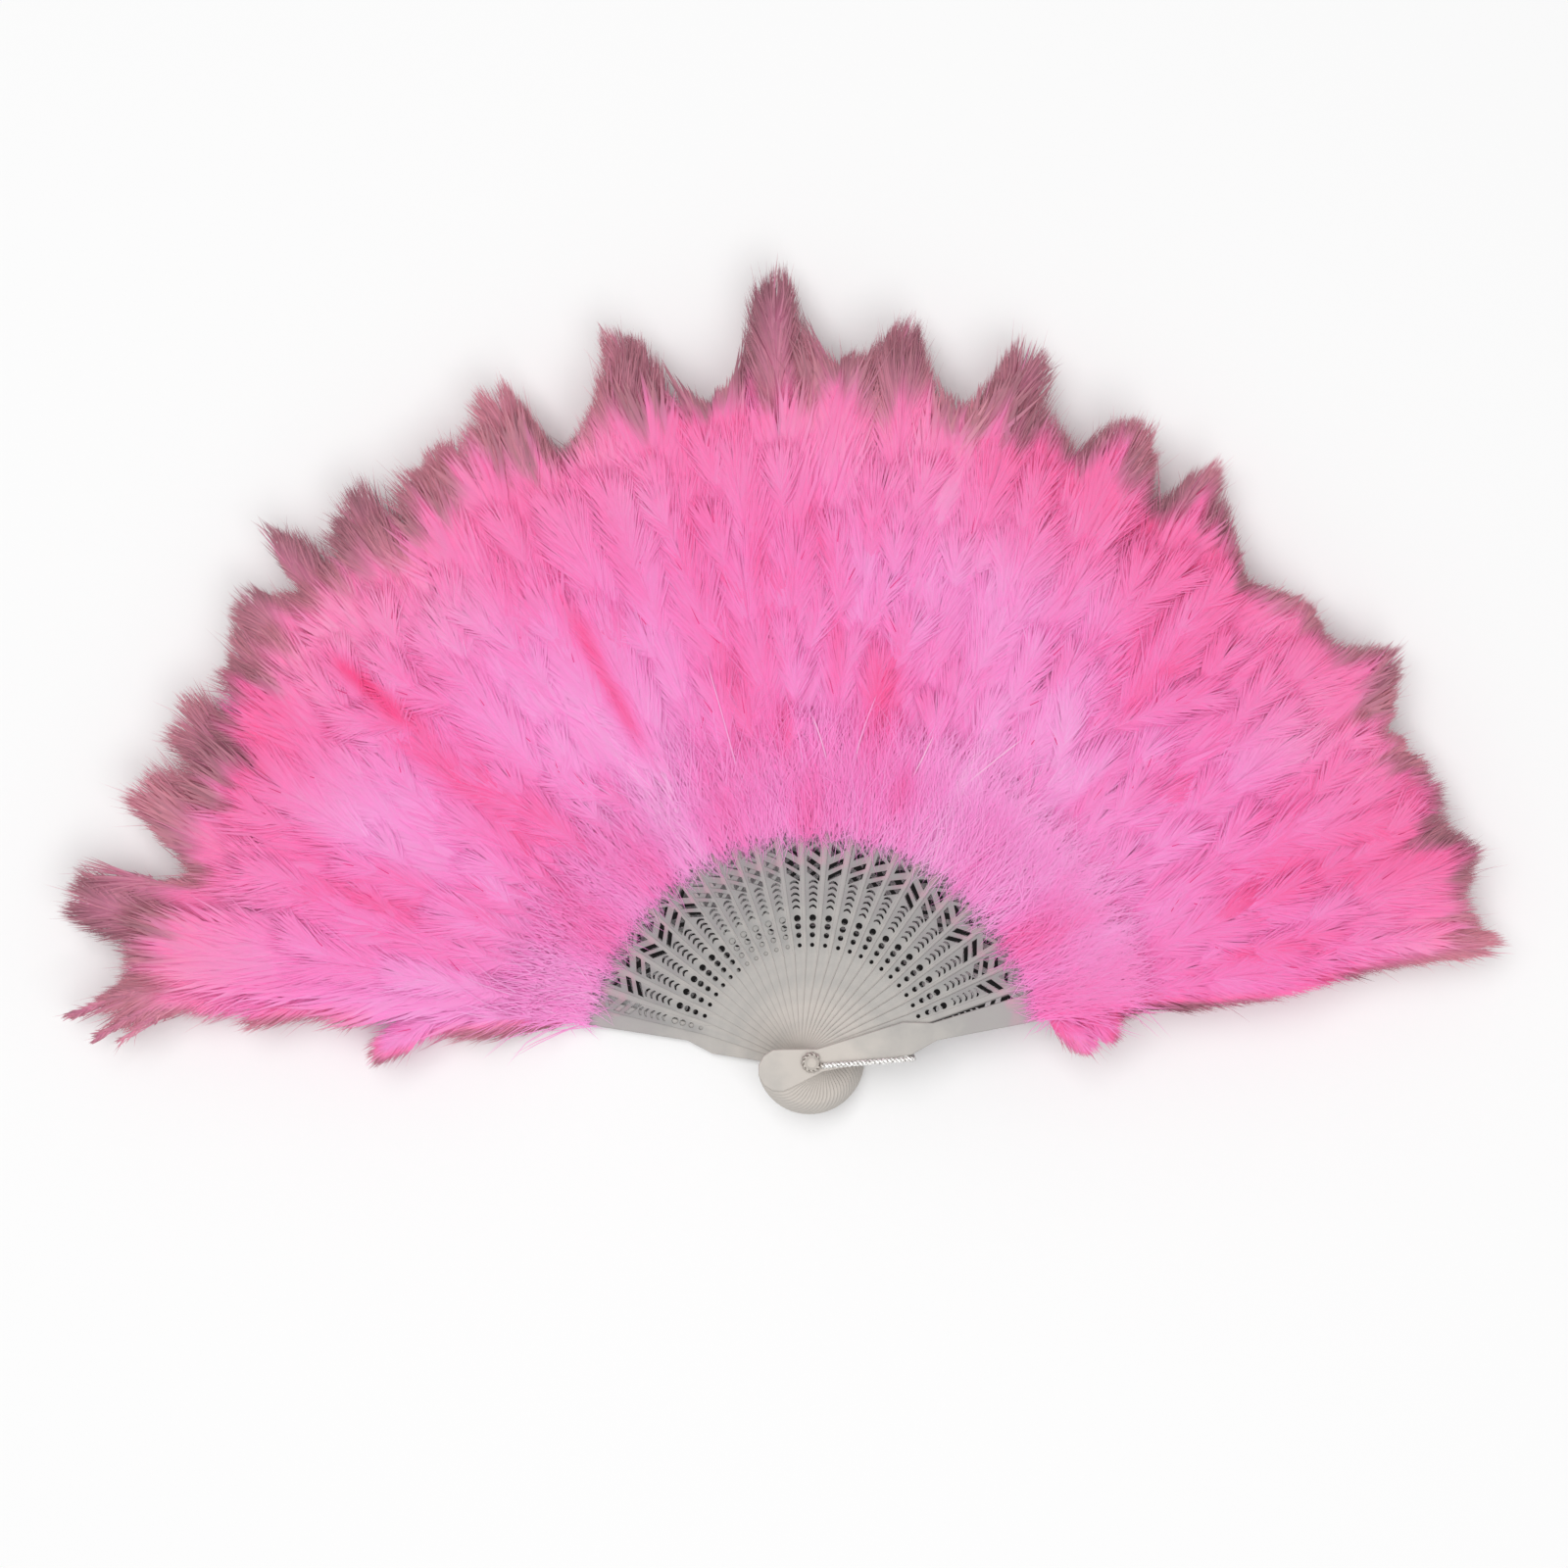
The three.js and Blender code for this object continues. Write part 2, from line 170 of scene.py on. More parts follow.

# Looks of the dyed down, with colour stops by tint, and of the painted shade in its thin fringe
PINK_STOPS = (
    (0.01, 238, 82, 154), (0.05, 255, 98, 170), (0.15, 255, 118, 184), (0.35, 255, 151, 215),
    (0.55, 255, 171, 229), (0.75, 255, 190, 238), (0.97, 255, 222, 244),
)
SALMON_STOPS = (
    (0.01, 210, 70, 126), (0.05, 255, 96, 164), (0.3, 255, 138, 196), (0.5, 255, 154, 208),
    (0.9, 255, 186, 220),
)
# Painted shade: dusky rose where the down thins out in the fringe
FRINGE_SHADE_STOPS = (
    (0.02, 122, 84, 96), (0.25, 172, 124, 136), (0.5, 204, 146, 160), (0.75, 228, 160, 176),
    (0.95, 240, 178, 194),
)
SALMON_PLACES, FRINGE_SHADE_PLACES = (0.1, 0.5), (0.55, 0.92)
DOWN_ROUGHNESS, DOWN_SPECULAR, DOWN_THROUGH = 0.9, 0.1, 0.35

# Barbs: flat tapered strips that fan out on both sides of a quill
BARB_HALF_WIDTHS = (0.26, 0.26, 0.22, 0.14, 0)
CORE_HALF_WIDTHS = (0.6, 0.8, 0.6, 0)
HAIR_HALF_WIDTHS = (0.11, 0.1, 0.07, 0)
BARB_OPENING = 33
LOCK_LENGTH = 6
QUILL_HALF_WIDTH = 0.2
TWIST = 6
LAST_ROOT_WIDTHS = 1.7
LEAST_ROOT_SHARE = 0.3
ROOT_CROWDING = 0.85
OPENING_LOSS_SHARE = 0.5
LEAST_OPENING = 3
BEND_SHARE = 0.62
VANE_ROOT_SHARE, VANE_FULL_SHARE, VANE_TAPER_SHARE = 0.35, 0.25, 0.5
LONGEST_BARB_WIDTHS = 2.4
TIP_REACH_SHARE = 1.03
LENGTH_LIMIT_SHARES = (0.5, 1.3)
WIDTH_SHARES = (0.8, 1.2)
BARB_ARCH = 1
LOCK_GATHER_SHARE = 0.15
# How much of the fringe's painted shade a barb's root takes up
BARB_ROOT_SHADE_SHARE = 0.6

# How much barbs differ, first from lock to lock and then from one to the next
OPENING_SPREADS = (3, 8)
LENGTH_SPREAD_SHARES = (0.08, 0.14)
CURL_SPREADS = (6, 12)
ARCH_SPREADS = (0.3, 0.4)
TINT_SPREADS = (0.025, 0.03)
HANG_SPREAD = 0.9

# Tints from 0, the deepest, to 1, the palest, and how much they differ
TINT_WIDTH = 0.01
FEATHER_TINT, FEATHER_TINT_SPREAD = 0.5, 0.035
QUILL_TINT, COVERED_QUILL_TINT = 0.93, 0.6
# How much of the fringe's painted shade a quill takes up
QUILL_FRINGE_SHADE_SHARE = 0.5
# Tint of the painted shade in the grooves between plumes
GROOVE_SHADE_TINT = 0.09
# Tint of the dark crease strips, painted shade where barbs part
CREASE_SHADE_TINT = 0
BAKE_MARGIN = 0.01

# Quills, single hairs, and dark crease strips of painted shade
QUILL_STATIONS, QUILL_STRIP_STATIONS = 24, 12
QUILL_CURVE = 1.5
QUILL_SWAY = 2
DIP_END_SHARE = 0.6
BARE_QUILL_DIPS = 1.5
BARBS_PER_HAIR = 8
HAIR_SWING = (2.2, 2.2, 1)
HAIR_LENGTH_SHARES = (0.85, 1.15)
HAIR_TINT_RISE = 0.1
CREASES_PER_FEATHER = 1
CREASE_LENGTHS = (3, 8)
CREASE_LIFT = 0.7
CREASE_WIDTH_SHARE = 1.4

# Down at the root: some hairs veil the blade and the others stream outwards
ROOT_HAIRS = 600
VEIL_SHARE = 0.17
ROOT_SPREAD = 2
ROOT_HALF_ANGLE = 3.4
ROOT_BEND = 12
ROOT_HEIGHTS = (1.6, 4)
ROOT_TINT_SPREAD = 0.05
RootHairs = namedtuple("RootHairs", "band lean lengths slope tint width_share")
VEIL = RootHairs(7, 24, (3, 14), -0.05, 0.62, 1.3)
STREAM = RootHairs(22, 13, (16, 34), 0.4, 0.56, 1.8)
STREAM_CROWDING = 1.3

# Heights of a plume: it leaves its stick at the root and fills the room from the table to its top
PLUME_ROOT = 84
PLUME_RISE_END = 122
PLUME_FLOOR = 0.6
PLUME_TOP = 37
LIMIT_SOFTNESS = 1.0
BASE_DIP = 10
LEAST_COVER, TUFT_COVER = 2, 3

# Colours change outwards from the root's pink to salmon, and to a painted dusky shade where the feathers
# thin out
PINK_FROM = 160
SALMON_AT = 245
FRINGE_SHADE_FROM, FRINGE_SHADE_AT = 230, 248
FRINGE_SHADE_EDGE, FRINGE_SHADE_DEPTH = 1, 8
RAGGED_REACH = 24
RAGGED_DEPTH = 5
FRINGE_SHADE_VARIETY = 0.12
PLACE_SHARES = (0.03, 0.48, 0.93)
GRAIN_SIZE, GRAIN_SHIFT, GRAIN_SEED = 1.5, 300, 14
GRAIN_SHARE = 0.04

# Patches of smooth noise: their breadth in degrees round the rivet, their length outwards, and where they
# lie in the repeating noise
Patches = namedtuple("Patches", "breadth length shift seed")
NOTCHES = Patches(0.7, 16, 300, 16)
NOTCH_MEAN_SHARE = 0.45
BROAD_THINNING = Patches(4, 60, 50, 13)
FINE_THINNING = Patches(0.8, 30, 90, 15)
# Random tone of the down that is partly painted highlight: broad patches, and streaks that run outwards
TINT_AND_HIGHLIGHT_PATCHES = Patches(10, 45, 50, 11)
TINT_AND_HIGHLIGHT_STREAKS = Patches(2, 40, 50, 12)
PATCH_STRENGTH, STREAK_STRENGTH = 0.42, 0.16

# A feather of a plume: places of its base and tip along the stick, the tip's place across it, height,
# reach of the vane to each side, how far the barbs' tips hang, and count. Those that hang the other way
# belong to the underside, and those that don't hang fill the middle with broader down.
Feather = namedtuple("Feather", "base tip side height half_width hang barbs")

# Layers of feathers that every plume has, from the top down
LAYERS = (
    Feather(84, 132, 0, 34, 9, 3, 1000),
    Feather(88, 160, 0, 33.5, 11, 3, 1400),
    Feather(98, 190, 0, 33, 12, 3, 1700),
    Feather(112, 222, 0, 32, 13, 3, 1900),
    Feather(130, 250, 0, 29, 15, 3, 2000),
    Feather(90, 180, 0, 31.5, 11, 0, 420),
    Feather(110, 246, 0, 30.5, 14, 0, 600),
    Feather(100, 240, 0, 16, 14, 0, 300),
    Feather(126, 246, 0, 5, 15, -2, 1100),
    Feather(104, 204, 0, 3, 13, -2, 1100),
    Feather(88, 156, 0, 3, 12, -2, 900),
)
TIP_SPREAD = 8
SIDE_SPREAD = 8
HEIGHT_SPREAD = 1

# Small feathers scattered over the top, which cover the quills: their length and lean
TUFTS_PER_PLUME = 6
TUFT = Feather(0, 0, 0, 34.5, 8, 3, 450)
TUFT_LENGTHS = (34, 60)
TUFT_PLACES = (84, 190)
TUFT_LEAN = 14

# Outline of the spread feathers in the photograph: direction and reach of its peaks and valleys in
# turn, from the right corner to the left one
FRINGE = (
    (8.8, 257), (11.5, 244), (14.5, 241), (17.5, 252), (20.5, 242), (23.5, 247), (30, 238), (34.8, 260),
    (38.5, 239), (43.5, 241), (48, 230), (56.3, 263), (58.3, 233), (61.6, 260), (64.8, 254), (66.4, 237),
    (69.5, 247), (70.4, 265), (73.8, 272), (76.5, 241), (78.4, 243), (80.5, 252), (82, 271), (88.5, 247),
    (92.2, 288), (94.5, 277), (96.5, 246), (99.5, 237), (103.4, 267), (106.1, 275), (108, 248),
    (112.6, 235), (114.4, 270), (117.3, 268), (120, 256), (122, 261), (123.5, 255), (127.7, 264),
    (130.4, 264), (132.4, 255), (135.9, 279), (137.4, 246), (140.5, 268), (146, 253), (150.1, 263),
    (155, 259), (159.5, 266), (162.4, 236), (163.4, 229), (164.6, 248), (164.4, 271), (166.7, 274),
    (168.3, 275), (170.2, 269), (170.9, 249), (173, 248), (177, 271),
)

# The outline's lower edges beside the guards, as places across and up from the rivet
RIGHT_EDGE = ((75, 13), (92, 2), (101, 0), (110, 4), (117, 17), (140, 17), (170, 22), (200, 30), (225, 36))
LEFT_EDGE = (
    (-254, 17), (-245, 19), (-252, 14), (-259, 5), (-251, 10), (-243.5, 13.5), (-250, 4), (-242, 11),
    (-233, 15), (-224, 16), (-217, 12), (-205, 9), (-185, 12), (-171, 11), (-161, 8), (-161, -3), (-150, -4),
    (-130, 4), (-105, 8), (-75, 11),
)
EDGE_SOFTNESS = 0.9
NOTCH_DEPTH = 7
FAR_FROM_EDGE = 60
GUARDS_MIDDLE, GUARDS_REACH = 91, 62

# Tips of the outermost feathers in the photograph: stick number, reach and direction
OUTER_TIPS = (
    (0, 269, 176.5), (0, 276, 167.7), (1, 271, 165.3), (1, 262, 157.9), (2, 260, 151.5), (3, 261, 144.6),
    (4, 266, 140.5), (5, 277, 136), (6, 264, 130.4), (7, 260, 122), (9, 269, 115.5), (11, 274, 105.4),
    (13, 285, 92.7), (14, 270, 82.2), (16, 270, 73), (18, 258, 61.5), (19, 261, 56.5), (21, 241, 43.5),
    (23, 258, 34.7), (24, 247, 24), (26, 252, 16.2), (26, 255, 8.8),
)
OUTER_FEATHER = Feather(140, 0, 0, 25, 13, 3, 1500)
UNDER_OUTER = {"height": 13, "hang": -2, "barbs": 700}

# Feathers that fill the plumes' lower edges beside the guards, and their tufts and wisps:
# stick number, base, reach and direction of the tip, and reach of the vane to each side
EDGE_TIPS = (
    (0, 92, 140, 173.5, 8), (0, 104, 175, 175, 9), (0, 124, 208, 175.6, 9), (0, 150, 240, 175.8, 9),
    (0, 112, 160, 181, 6), (0, 180, 269, 177, 3), (0, 180, 259, 178.7, 3), (0, 180, 250, 179, 3),
    (26, 92, 150, 11, 7), (26, 108, 196, 11, 7), (26, 130, 236, 11, 7), (26, 84, 101, 0.5, 6),
    (26, 88, 111, 4, 7), (26, 96, 150, 13.8, 9), (26, 112, 178, 13.8, 9),
)
EDGE_CLEARANCE = 3
EDGE_FEATHER = Feather(0, 0, 0, 25, 0, 4, 620)
UNDER_EDGE = {"height": 9, "hang": -2, "barbs": 300}

# Painted shade in the grooves between plumes, where the pink is deepest: direction, from, to and strength as
# a share
GROOVE_SHADES = (
    (139.8, 178, 232, 1), (118.2, 112, 196, 0.8), (90, 168, 212, 0.35), (86.5, 122, 165, 0.5),
    (94.6, 105, 135, 0.4), (71.5, 88, 112, 0.5), (44, 110, 175, 0.3), (160, 130, 200, 0.3),
)
GROOVE_HALF_WIDTH = 4

# Sticks whose quills show through the thin down near the root
BARE_QUILLS = (11, 14, 15, 16, 17)
BARE_QUILL_FROM, BARE_QUILL_TO = 100, 145


def sector_name(index):
    """Names of the stick, plume and body numbered from the back guard at 0."""
    if index == 0:
        return "back_guard", "back_guard_plume", "back_stick"
    if index == LAST:
        return "front_guard", "front_guard_plume", "front_stick"
    return f"stick_{index:02d}", f"plume_{index:02d}", f"leaf_{index:02d}"


LAST = sum(name.startswith("stick_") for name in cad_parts) + 1


def node_points(name):
    """A CAD node's vertices in millimetres."""
    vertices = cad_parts[name].data.vertices
    points = np.empty(len(vertices) * 3)
    vertices.foreach_get("co", points)
    return points.reshape(-1, 3) / MM


def stick_place(index):
    """Direction of a stick and the height of its middle."""
    points = node_points(sector_name(index)[0])
    reach = np.hypot(points[:, 0], points[:, 1])
    tip = points[reach > reach.max() - TIP_DEPTH].mean(0)
    middle = (points[:, 2].min() + points[:, 2].max()) / 2
    return math.degrees(math.atan2(tip[1], tip[0])), middle


def smooth_step(value, low, high):
    share = np.clip((value - low) / (high - low), 0, 1)
    return share * share * (3 - 2 * share)


def soft_noise(x, y, seed):
    """Smooth noise from 0 to 1 over a repeating grid of random values one unit apart."""
    size = 64
    grid = np.random.default_rng(seed).random((size, size))
    left, low = np.floor(x).astype(int) % size, np.floor(y).astype(int) % size
    right, high = (left + 1) % size, (low + 1) % size
    across = smooth_step(x - np.floor(x), 0, 1)
    up = smooth_step(y - np.floor(y), 0, 1)
    near = grid[left, low] * (1 - across) + grid[right, low] * across
    far = grid[left, high] * (1 - across) + grid[right, high] * across
    return near * (1 - up) + far * up


def turned(points, angle):
    """Points turned about the rivet's axis."""
    cosine, sine = math.cos(math.radians(angle)), math.sin(math.radians(angle))
    return points @ np.array([[cosine, sine, 0], [-sine, cosine, 0], [0, 0, 1]])


def along(path, shares):
    """Values of an evenly spaced path at shares of its length."""
    place = shares * (len(path) - 1)
    before = np.minimum(place.astype(int), len(path) - 2)
    part = (place - before)[:, None]
    return path[before] * (1 - part) + path[before + 1] * part


def unit(vectors):
    return vectors / (np.linalg.norm(vectors, axis=-1, keepdims=True) + TINY)


def placed(name, data):
    """An object in the scene."""
    made = bpy.data.objects.new(name, data)
    bpy.context.scene.collection.objects.link(made)
    return made


def mesh_object(name, points, triangles, uv=None):
    """An object from millimetre points and triangles, with its bake map where it has one."""
    mesh = bpy.data.meshes.new(name)
    mesh.vertices.add(len(points))
    mesh.vertices.foreach_set("co", (points * MM).ravel())
    mesh.loops.add(triangles.size)
    mesh.loops.foreach_set("vertex_index", triangles.ravel())
    mesh.polygons.add(len(triangles))
    mesh.polygons.foreach_set("loop_start", np.arange(0, triangles.size, 3))
    if uv is not None:
        mesh.uv_layers.new(name="OFBake").data.foreach_set("uv", uv[triangles.ravel()].ravel())
    mesh.update(calc_edges=True)
    mesh.shade_smooth()
    return placed(name, mesh)


def joined(parts):
    """Several parts' points, triangles and bake maps as one."""
    starts = np.cumsum([0] + [len(part[0]) for part in parts])
    points, triangles, *maps = zip(*parts)
    triangles = [faces + start for faces, start in zip(triangles, starts)]
    return [np.concatenate(values) for values in (points, triangles, *maps)]


# Strips: middle lines (strip, station, xyz), half widths and tints (strip, station), and how much of its
# place's painted fringe shade each station takes up. The last station is the strip's point.
Strips = namedtuple("Strips", "lines half_widths tints dusk")


def both_edges(middle, offset):
    """Values at both edges of each station, and once at the strip's point."""
    edges = np.stack([middle + offset, middle - offset], 2)[:, :-1]
    return np.concatenate([edges.reshape(len(middle), -1, middle.shape[2]), middle[:, -1:]], 1)


def strips_mesh(rng, strips):
    """Points, triangles and bake map of flat tapered strips, each twisted a little about its line."""
    lines, half_widths, tints, fringe_shade = strips
    count, stations = lines.shape[:2]
    tangents = unit(np.gradient(lines, axis=1))
    level = unit(np.cross(tangents, [0.0, 0.0, 1.0]))
    twist = np.radians(TWIST * rng.normal(size=count))[:, None, None]
    across = level * np.cos(twist) + np.cross(level, tangents) * np.sin(twist)
    points = both_edges(lines, across * half_widths[..., None])
    flat = lines.reshape(-1, 3)
    # The fringe's painted shade, more where the down thins out, with tints that vary more there
    thin = thinness(flat).reshape(count, stations) * fringe_shade
    places = colour_place(flat, thin.ravel()).reshape(count, stations)
    tints = pink_tint(flat, tints.ravel()).reshape(count, stations)
    tints = tints + FRINGE_SHADE_VARIETY * thin * rng.normal(size=(count, 1))
    uv = both_edges(np.stack([places, tints], 2), np.array([0, -TINT_WIDTH]))
    faces = []
    for left in range(0, 2 * (stations - 2), 2):
        faces += [(left, left + 1, left + 3), (left, left + 3, left + 2)]
    last = 2 * (stations - 2)
    faces.append((last, last + 1, last + 2))
    starts = np.arange(count)[:, None, None] * points.shape[1]
    triangles = (np.array(faces)[None] + starts).reshape(-1, 3)
    return points.reshape(-1, 3), triangles, np.clip(uv.reshape(-1, 2), BAKE_MARGIN, 1 - BAKE_MARGIN)


def polar(points):
    """Distance from the rivet and direction of points."""
    reach = np.hypot(points[:, 0], points[:, 1])
    return reach, np.degrees(np.arctan2(points[:, 1], points[:, 0]))


def patches(points, kind):
    """Smooth noise from 0 to 1 in patches that are drawn out along the sticks."""
    reach, bearing = polar(points)
    return soft_noise(bearing / kind.breadth + kind.shift, reach / kind.length, kind.seed)


def feather_outline():
    """The outline of the spread feathers from the right guard round to the left one."""
    turns = np.radians([direction for direction, _ in FRINGE])
    reaches = np.array([reach for _, reach in FRINGE])
    fringe = np.stack([reaches * np.cos(turns), reaches * np.sin(turns)], 1)
    return np.concatenate([RIGHT_EDGE, fringe, LEFT_EDGE])


def inside_depth(points):
    """How far points lie inside the feathers' outline, below zero outside it."""
    outline = feather_outline()
    starts, steps = outline[:-1], np.diff(outline, axis=0)
    reach, bearing = polar(points)
    depth = np.full(len(points), float(FAR_FROM_EDGE))
    far_out = reach > min(reach for _, reach in FRINGE) - FAR_FROM_EDGE / 2
    near = far_out | (np.abs(bearing - GUARDS_MIDDLE) > GUARDS_REACH)
    flat = points[near, :2]
    away = flat[:, None] - starts
    shares = np.clip((away * steps).sum(2) / (steps ** 2).sum(1), 0, 1)
    gaps = np.linalg.norm(away - shares[..., None] * steps, axis=2).min(1)
    x, y = outline.T
    next_x, next_y = np.roll(outline, -1, axis=0).T
    crossed = (y > flat[:, 1:]) != (next_y > flat[:, 1:])
    crossing = x + (flat[:, 1:] - y) * (next_x - x) / np.where(next_y == y, TINY, next_y - y)
    inside = (crossed & (flat[:, :1] < crossing)).sum(1) % 2 == 1
    notches = NOTCH_DEPTH * (patches(points[near], NOTCHES) - NOTCH_MEAN_SHARE)
    depth[near] = np.where(inside, gaps, -gaps) + np.minimum(notches, 0)
    return depth


def thinness(points):
    """Where the fringe's shade is painted: from 0 in the deep plumes to 1 in their thin tips and along their
    lower edges, raggedly.
    """
    reach, _ = polar(points)
    ragged = patches(points, BROAD_THINNING) + patches(points, FINE_THINNING) - 1
    far_out = smooth_step(reach + RAGGED_REACH * ragged, FRINGE_SHADE_FROM, FRINGE_SHADE_AT)
    at_edge = 1 - smooth_step(inside_depth(points) + RAGGED_DEPTH * ragged, FRINGE_SHADE_EDGE, FRINGE_SHADE_DEPTH)
    return np.maximum(far_out, at_edge)


def colour_place(points, thin):
    """From 0 at the plumes' root over 0.5 far out to 1 in the tips' painted dusky shade."""
    reach, _ = polar(points)
    x, y = points[:, 0] / GRAIN_SIZE + GRAIN_SHIFT, points[:, 1] / GRAIN_SIZE + GRAIN_SHIFT
    root, far_out, tip = PLACE_SHARES
    body = root + (far_out - root) * smooth_step(reach, PINK_FROM, SALMON_AT)
    return body + thin * (tip - body) + GRAIN_SHARE * soft_noise(x, y, GRAIN_SEED)


def pink_tint(points, tints):
    """Each strip's own tint with broad patches and streaks that run outwards, partly random tone and partly
    painted highlight, and painted shade laid over it in the grooves; crease strips keep the darkest tint as
    painted shade.
    """
    reach, bearing = polar(points)
    groove_shade = np.zeros(len(points))
    for direction, start, end, strength in GROOVE_SHADES:
        beside = np.abs(bearing - direction) * np.radians(1) * reach
        third = (end - start) / 3
        inside = smooth_step(reach, start, start + third) * (1 - smooth_step(reach, end - third, end))
        groove_shade = np.maximum(groove_shade, strength * inside * np.exp(-(beside / GROOVE_HALF_WIDTH) ** 2))
    shade = tints + PATCH_STRENGTH * (patches(points, TINT_AND_HIGHLIGHT_PATCHES) - 0.5)
    shade = shade + STREAK_STRENGTH * (patches(points, TINT_AND_HIGHLIGHT_STREAKS) - 0.5)
    shade = shade + groove_shade * (GROOVE_SHADE_TINT - shade)
    return np.where(tints > CREASE_SHADE_TINT, np.maximum(shade, GROOVE_SHADE_TINT), CREASE_SHADE_TINT)


def quill_line(rng, feather, stick_middle):
    """A feather's quill in its stick's own frame, from the stick out and up or down to its layer.

    Its base dips into the plume, so that the feathers nearer the rivet cover it.
    """
    shares = np.linspace(0, 1, QUILL_STATIONS)
    x = feather.base + shares * (feather.tip - feather.base)
    y = feather.side * shares ** QUILL_CURVE + QUILL_SWAY * rng.normal() * np.sin(np.pi * shares)
    dip = np.sign(feather.hang) * BASE_DIP * (1 - smooth_step(shares, 0, DIP_END_SHARE))
    rise = feather.height - dip - stick_middle
    z = stick_middle + rise * smooth_step(x, PLUME_ROOT, PLUME_RISE_END)
    return np.stack([x, y, z], 1)


def barb_lengths(feather, length, shares, closing, opening):
    """Lengths that make the vane narrow at its base, then full, then tapered towards its tip."""
    full = VANE_ROOT_SHARE + (1 - VANE_ROOT_SHARE) * np.clip(closing / VANE_FULL_SHARE, 0, 1)
    profile = full * np.sqrt(1 - VANE_TAPER_SHARE * closing ** 2)
    lengths = feather.half_width * profile / np.sin(np.radians(BEND_SHARE * opening))
    lengths = np.minimum(lengths, LONGEST_BARB_WIDTHS * feather.half_width)
    return np.minimum(lengths, TIP_REACH_SHARE * length * (1 - shares))


def gather_locks(lines, locks, t):
    """Draws barbs towards the middle of their lock, the more the nearer their tips."""
    for lock in np.unique(locks):
        members = locks == lock
        middle = lines[members].mean(0)
        lines[members] += (middle - lines[members]) * (LOCK_GATHER_SHARE * t[0] ** 2)[None, :, None]


def barb_strips(rng, feather, quill, tint, direction):
    """A feather's barbs on both sides of its quill, gathered in loose locks that part at their tips."""
    count = feather.barbs
    length = math.hypot(feather.tip - feather.base, feather.side)
    last_root_share = max(1 - LAST_ROOT_WIDTHS * feather.half_width / length, LEAST_ROOT_SHARE)
    shares = last_root_share * rng.uniform(0, 1, count) ** ROOT_CROWDING
    sides = rng.choice([-1.0, 1.0], count)
    locks = (shares * length / LOCK_LENGTH).astype(int) * 2 + (sides > 0)
    lock_draws = rng.normal(size=(locks.max() + 1, 5))[locks]
    own_draws = rng.normal(size=(count, 5))

    def varied(spreads, column):
        """How barbs differ in one thing, each with its lock and by itself."""
        return spreads[0] * lock_draws[:, column] + spreads[1] * own_draws[:, column]

    closing = shares / last_root_share
    opening = BARB_OPENING * (1 - OPENING_LOSS_SHARE * closing) + varied(OPENING_SPREADS, 0)
    opening = np.maximum(opening, LEAST_OPENING)
    lengths = barb_lengths(feather, length, shares, closing, opening)
    lengths *= np.clip(1 + varied(LENGTH_SPREAD_SHARES, 1), *LENGTH_LIMIT_SHARES)
    half_widths = np.array(BARB_HALF_WIDTHS if feather.hang else CORE_HALF_WIDTHS)
    t = np.linspace(0, 1, len(half_widths))[None]
    roots = along(quill, shares)
    steps = np.gradient(quill, axis=0)
    headings = along(np.degrees(np.arctan2(steps[:, 1], steps[:, 0]))[:, None], shares)
    turn = sides[:, None] * opening[:, None] * (1 - BEND_SHARE * t)
    plan = np.radians(headings + turn + varied(CURL_SPREADS, 2)[:, None] * t)
    steps = np.stack([np.cos(plan), np.sin(plan)], 2) * (lengths[:, None] / (t.size - 1))[..., None]
    x, y = np.moveaxis(roots[:, None, :2] + np.cumsum(steps, 1) - steps, 2, 0)
    arch = (BARB_ARCH * np.sign(feather.hang) + varied(ARCH_SPREADS, 3))[:, None]
    hang = (feather.hang + HANG_SPREAD * own_draws[:, 4])[:, None]
    z = roots[:, 2:] + arch * 4 * t * (1 - t) - hang * t ** 2
    lines = turned(np.stack([x, y, z], 2), direction)
    gather_locks(lines, locks, t)
    tints = tint + TINT_SPREADS[0] * lock_draws[:, 4] + TINT_SPREADS[1] * rng.normal(size=count)
    widths = half_widths * rng.uniform(*WIDTH_SHARES, count)[:, None]
    # Barbs take up more of the fringe's painted shade towards their tips
    fringe_shade = np.tile(BARB_ROOT_SHADE_SHARE + (1 - BARB_ROOT_SHADE_SHARE) * t, (count, 1))
    return trimmed(rng, Strips(lines, widths, np.repeat(tints[:, None], t.size, 1), fringe_shade))


def trimmed(rng, strips):
    """Strips shortened to end at the feathers' outline, without those that start outside it."""
    count, stations = strips.lines.shape[:2]
    depth = inside_depth(strips.lines.reshape(-1, 3)).reshape(count, stations)
    depth += EDGE_SOFTNESS * rng.normal(size=(count, 1))
    kept = depth[:, 0] > 0
    depth, strips = depth[kept], Strips(*(values[kept] for values in strips))
    outside = depth < 0
    after = np.where(outside.any(1), outside.argmax(1), stations - 1)
    rows = np.arange(len(depth))
    before_depth, after_depth = depth[rows, after - 1], depth[rows, after]
    part = np.where(after_depth < 0, before_depth / (before_depth - after_depth + TINY), 1)
    ends = after - 1 + part
    places = ends[:, None] * np.linspace(0, 1, stations)
    before = np.minimum(places.astype(int), stations - 2)
    share = (places - before)[..., None]
    rows = rows[:, None]
    lines = strips.lines[rows, before] * (1 - share) + strips.lines[rows, before + 1] * share
    return strips._replace(lines=lines)


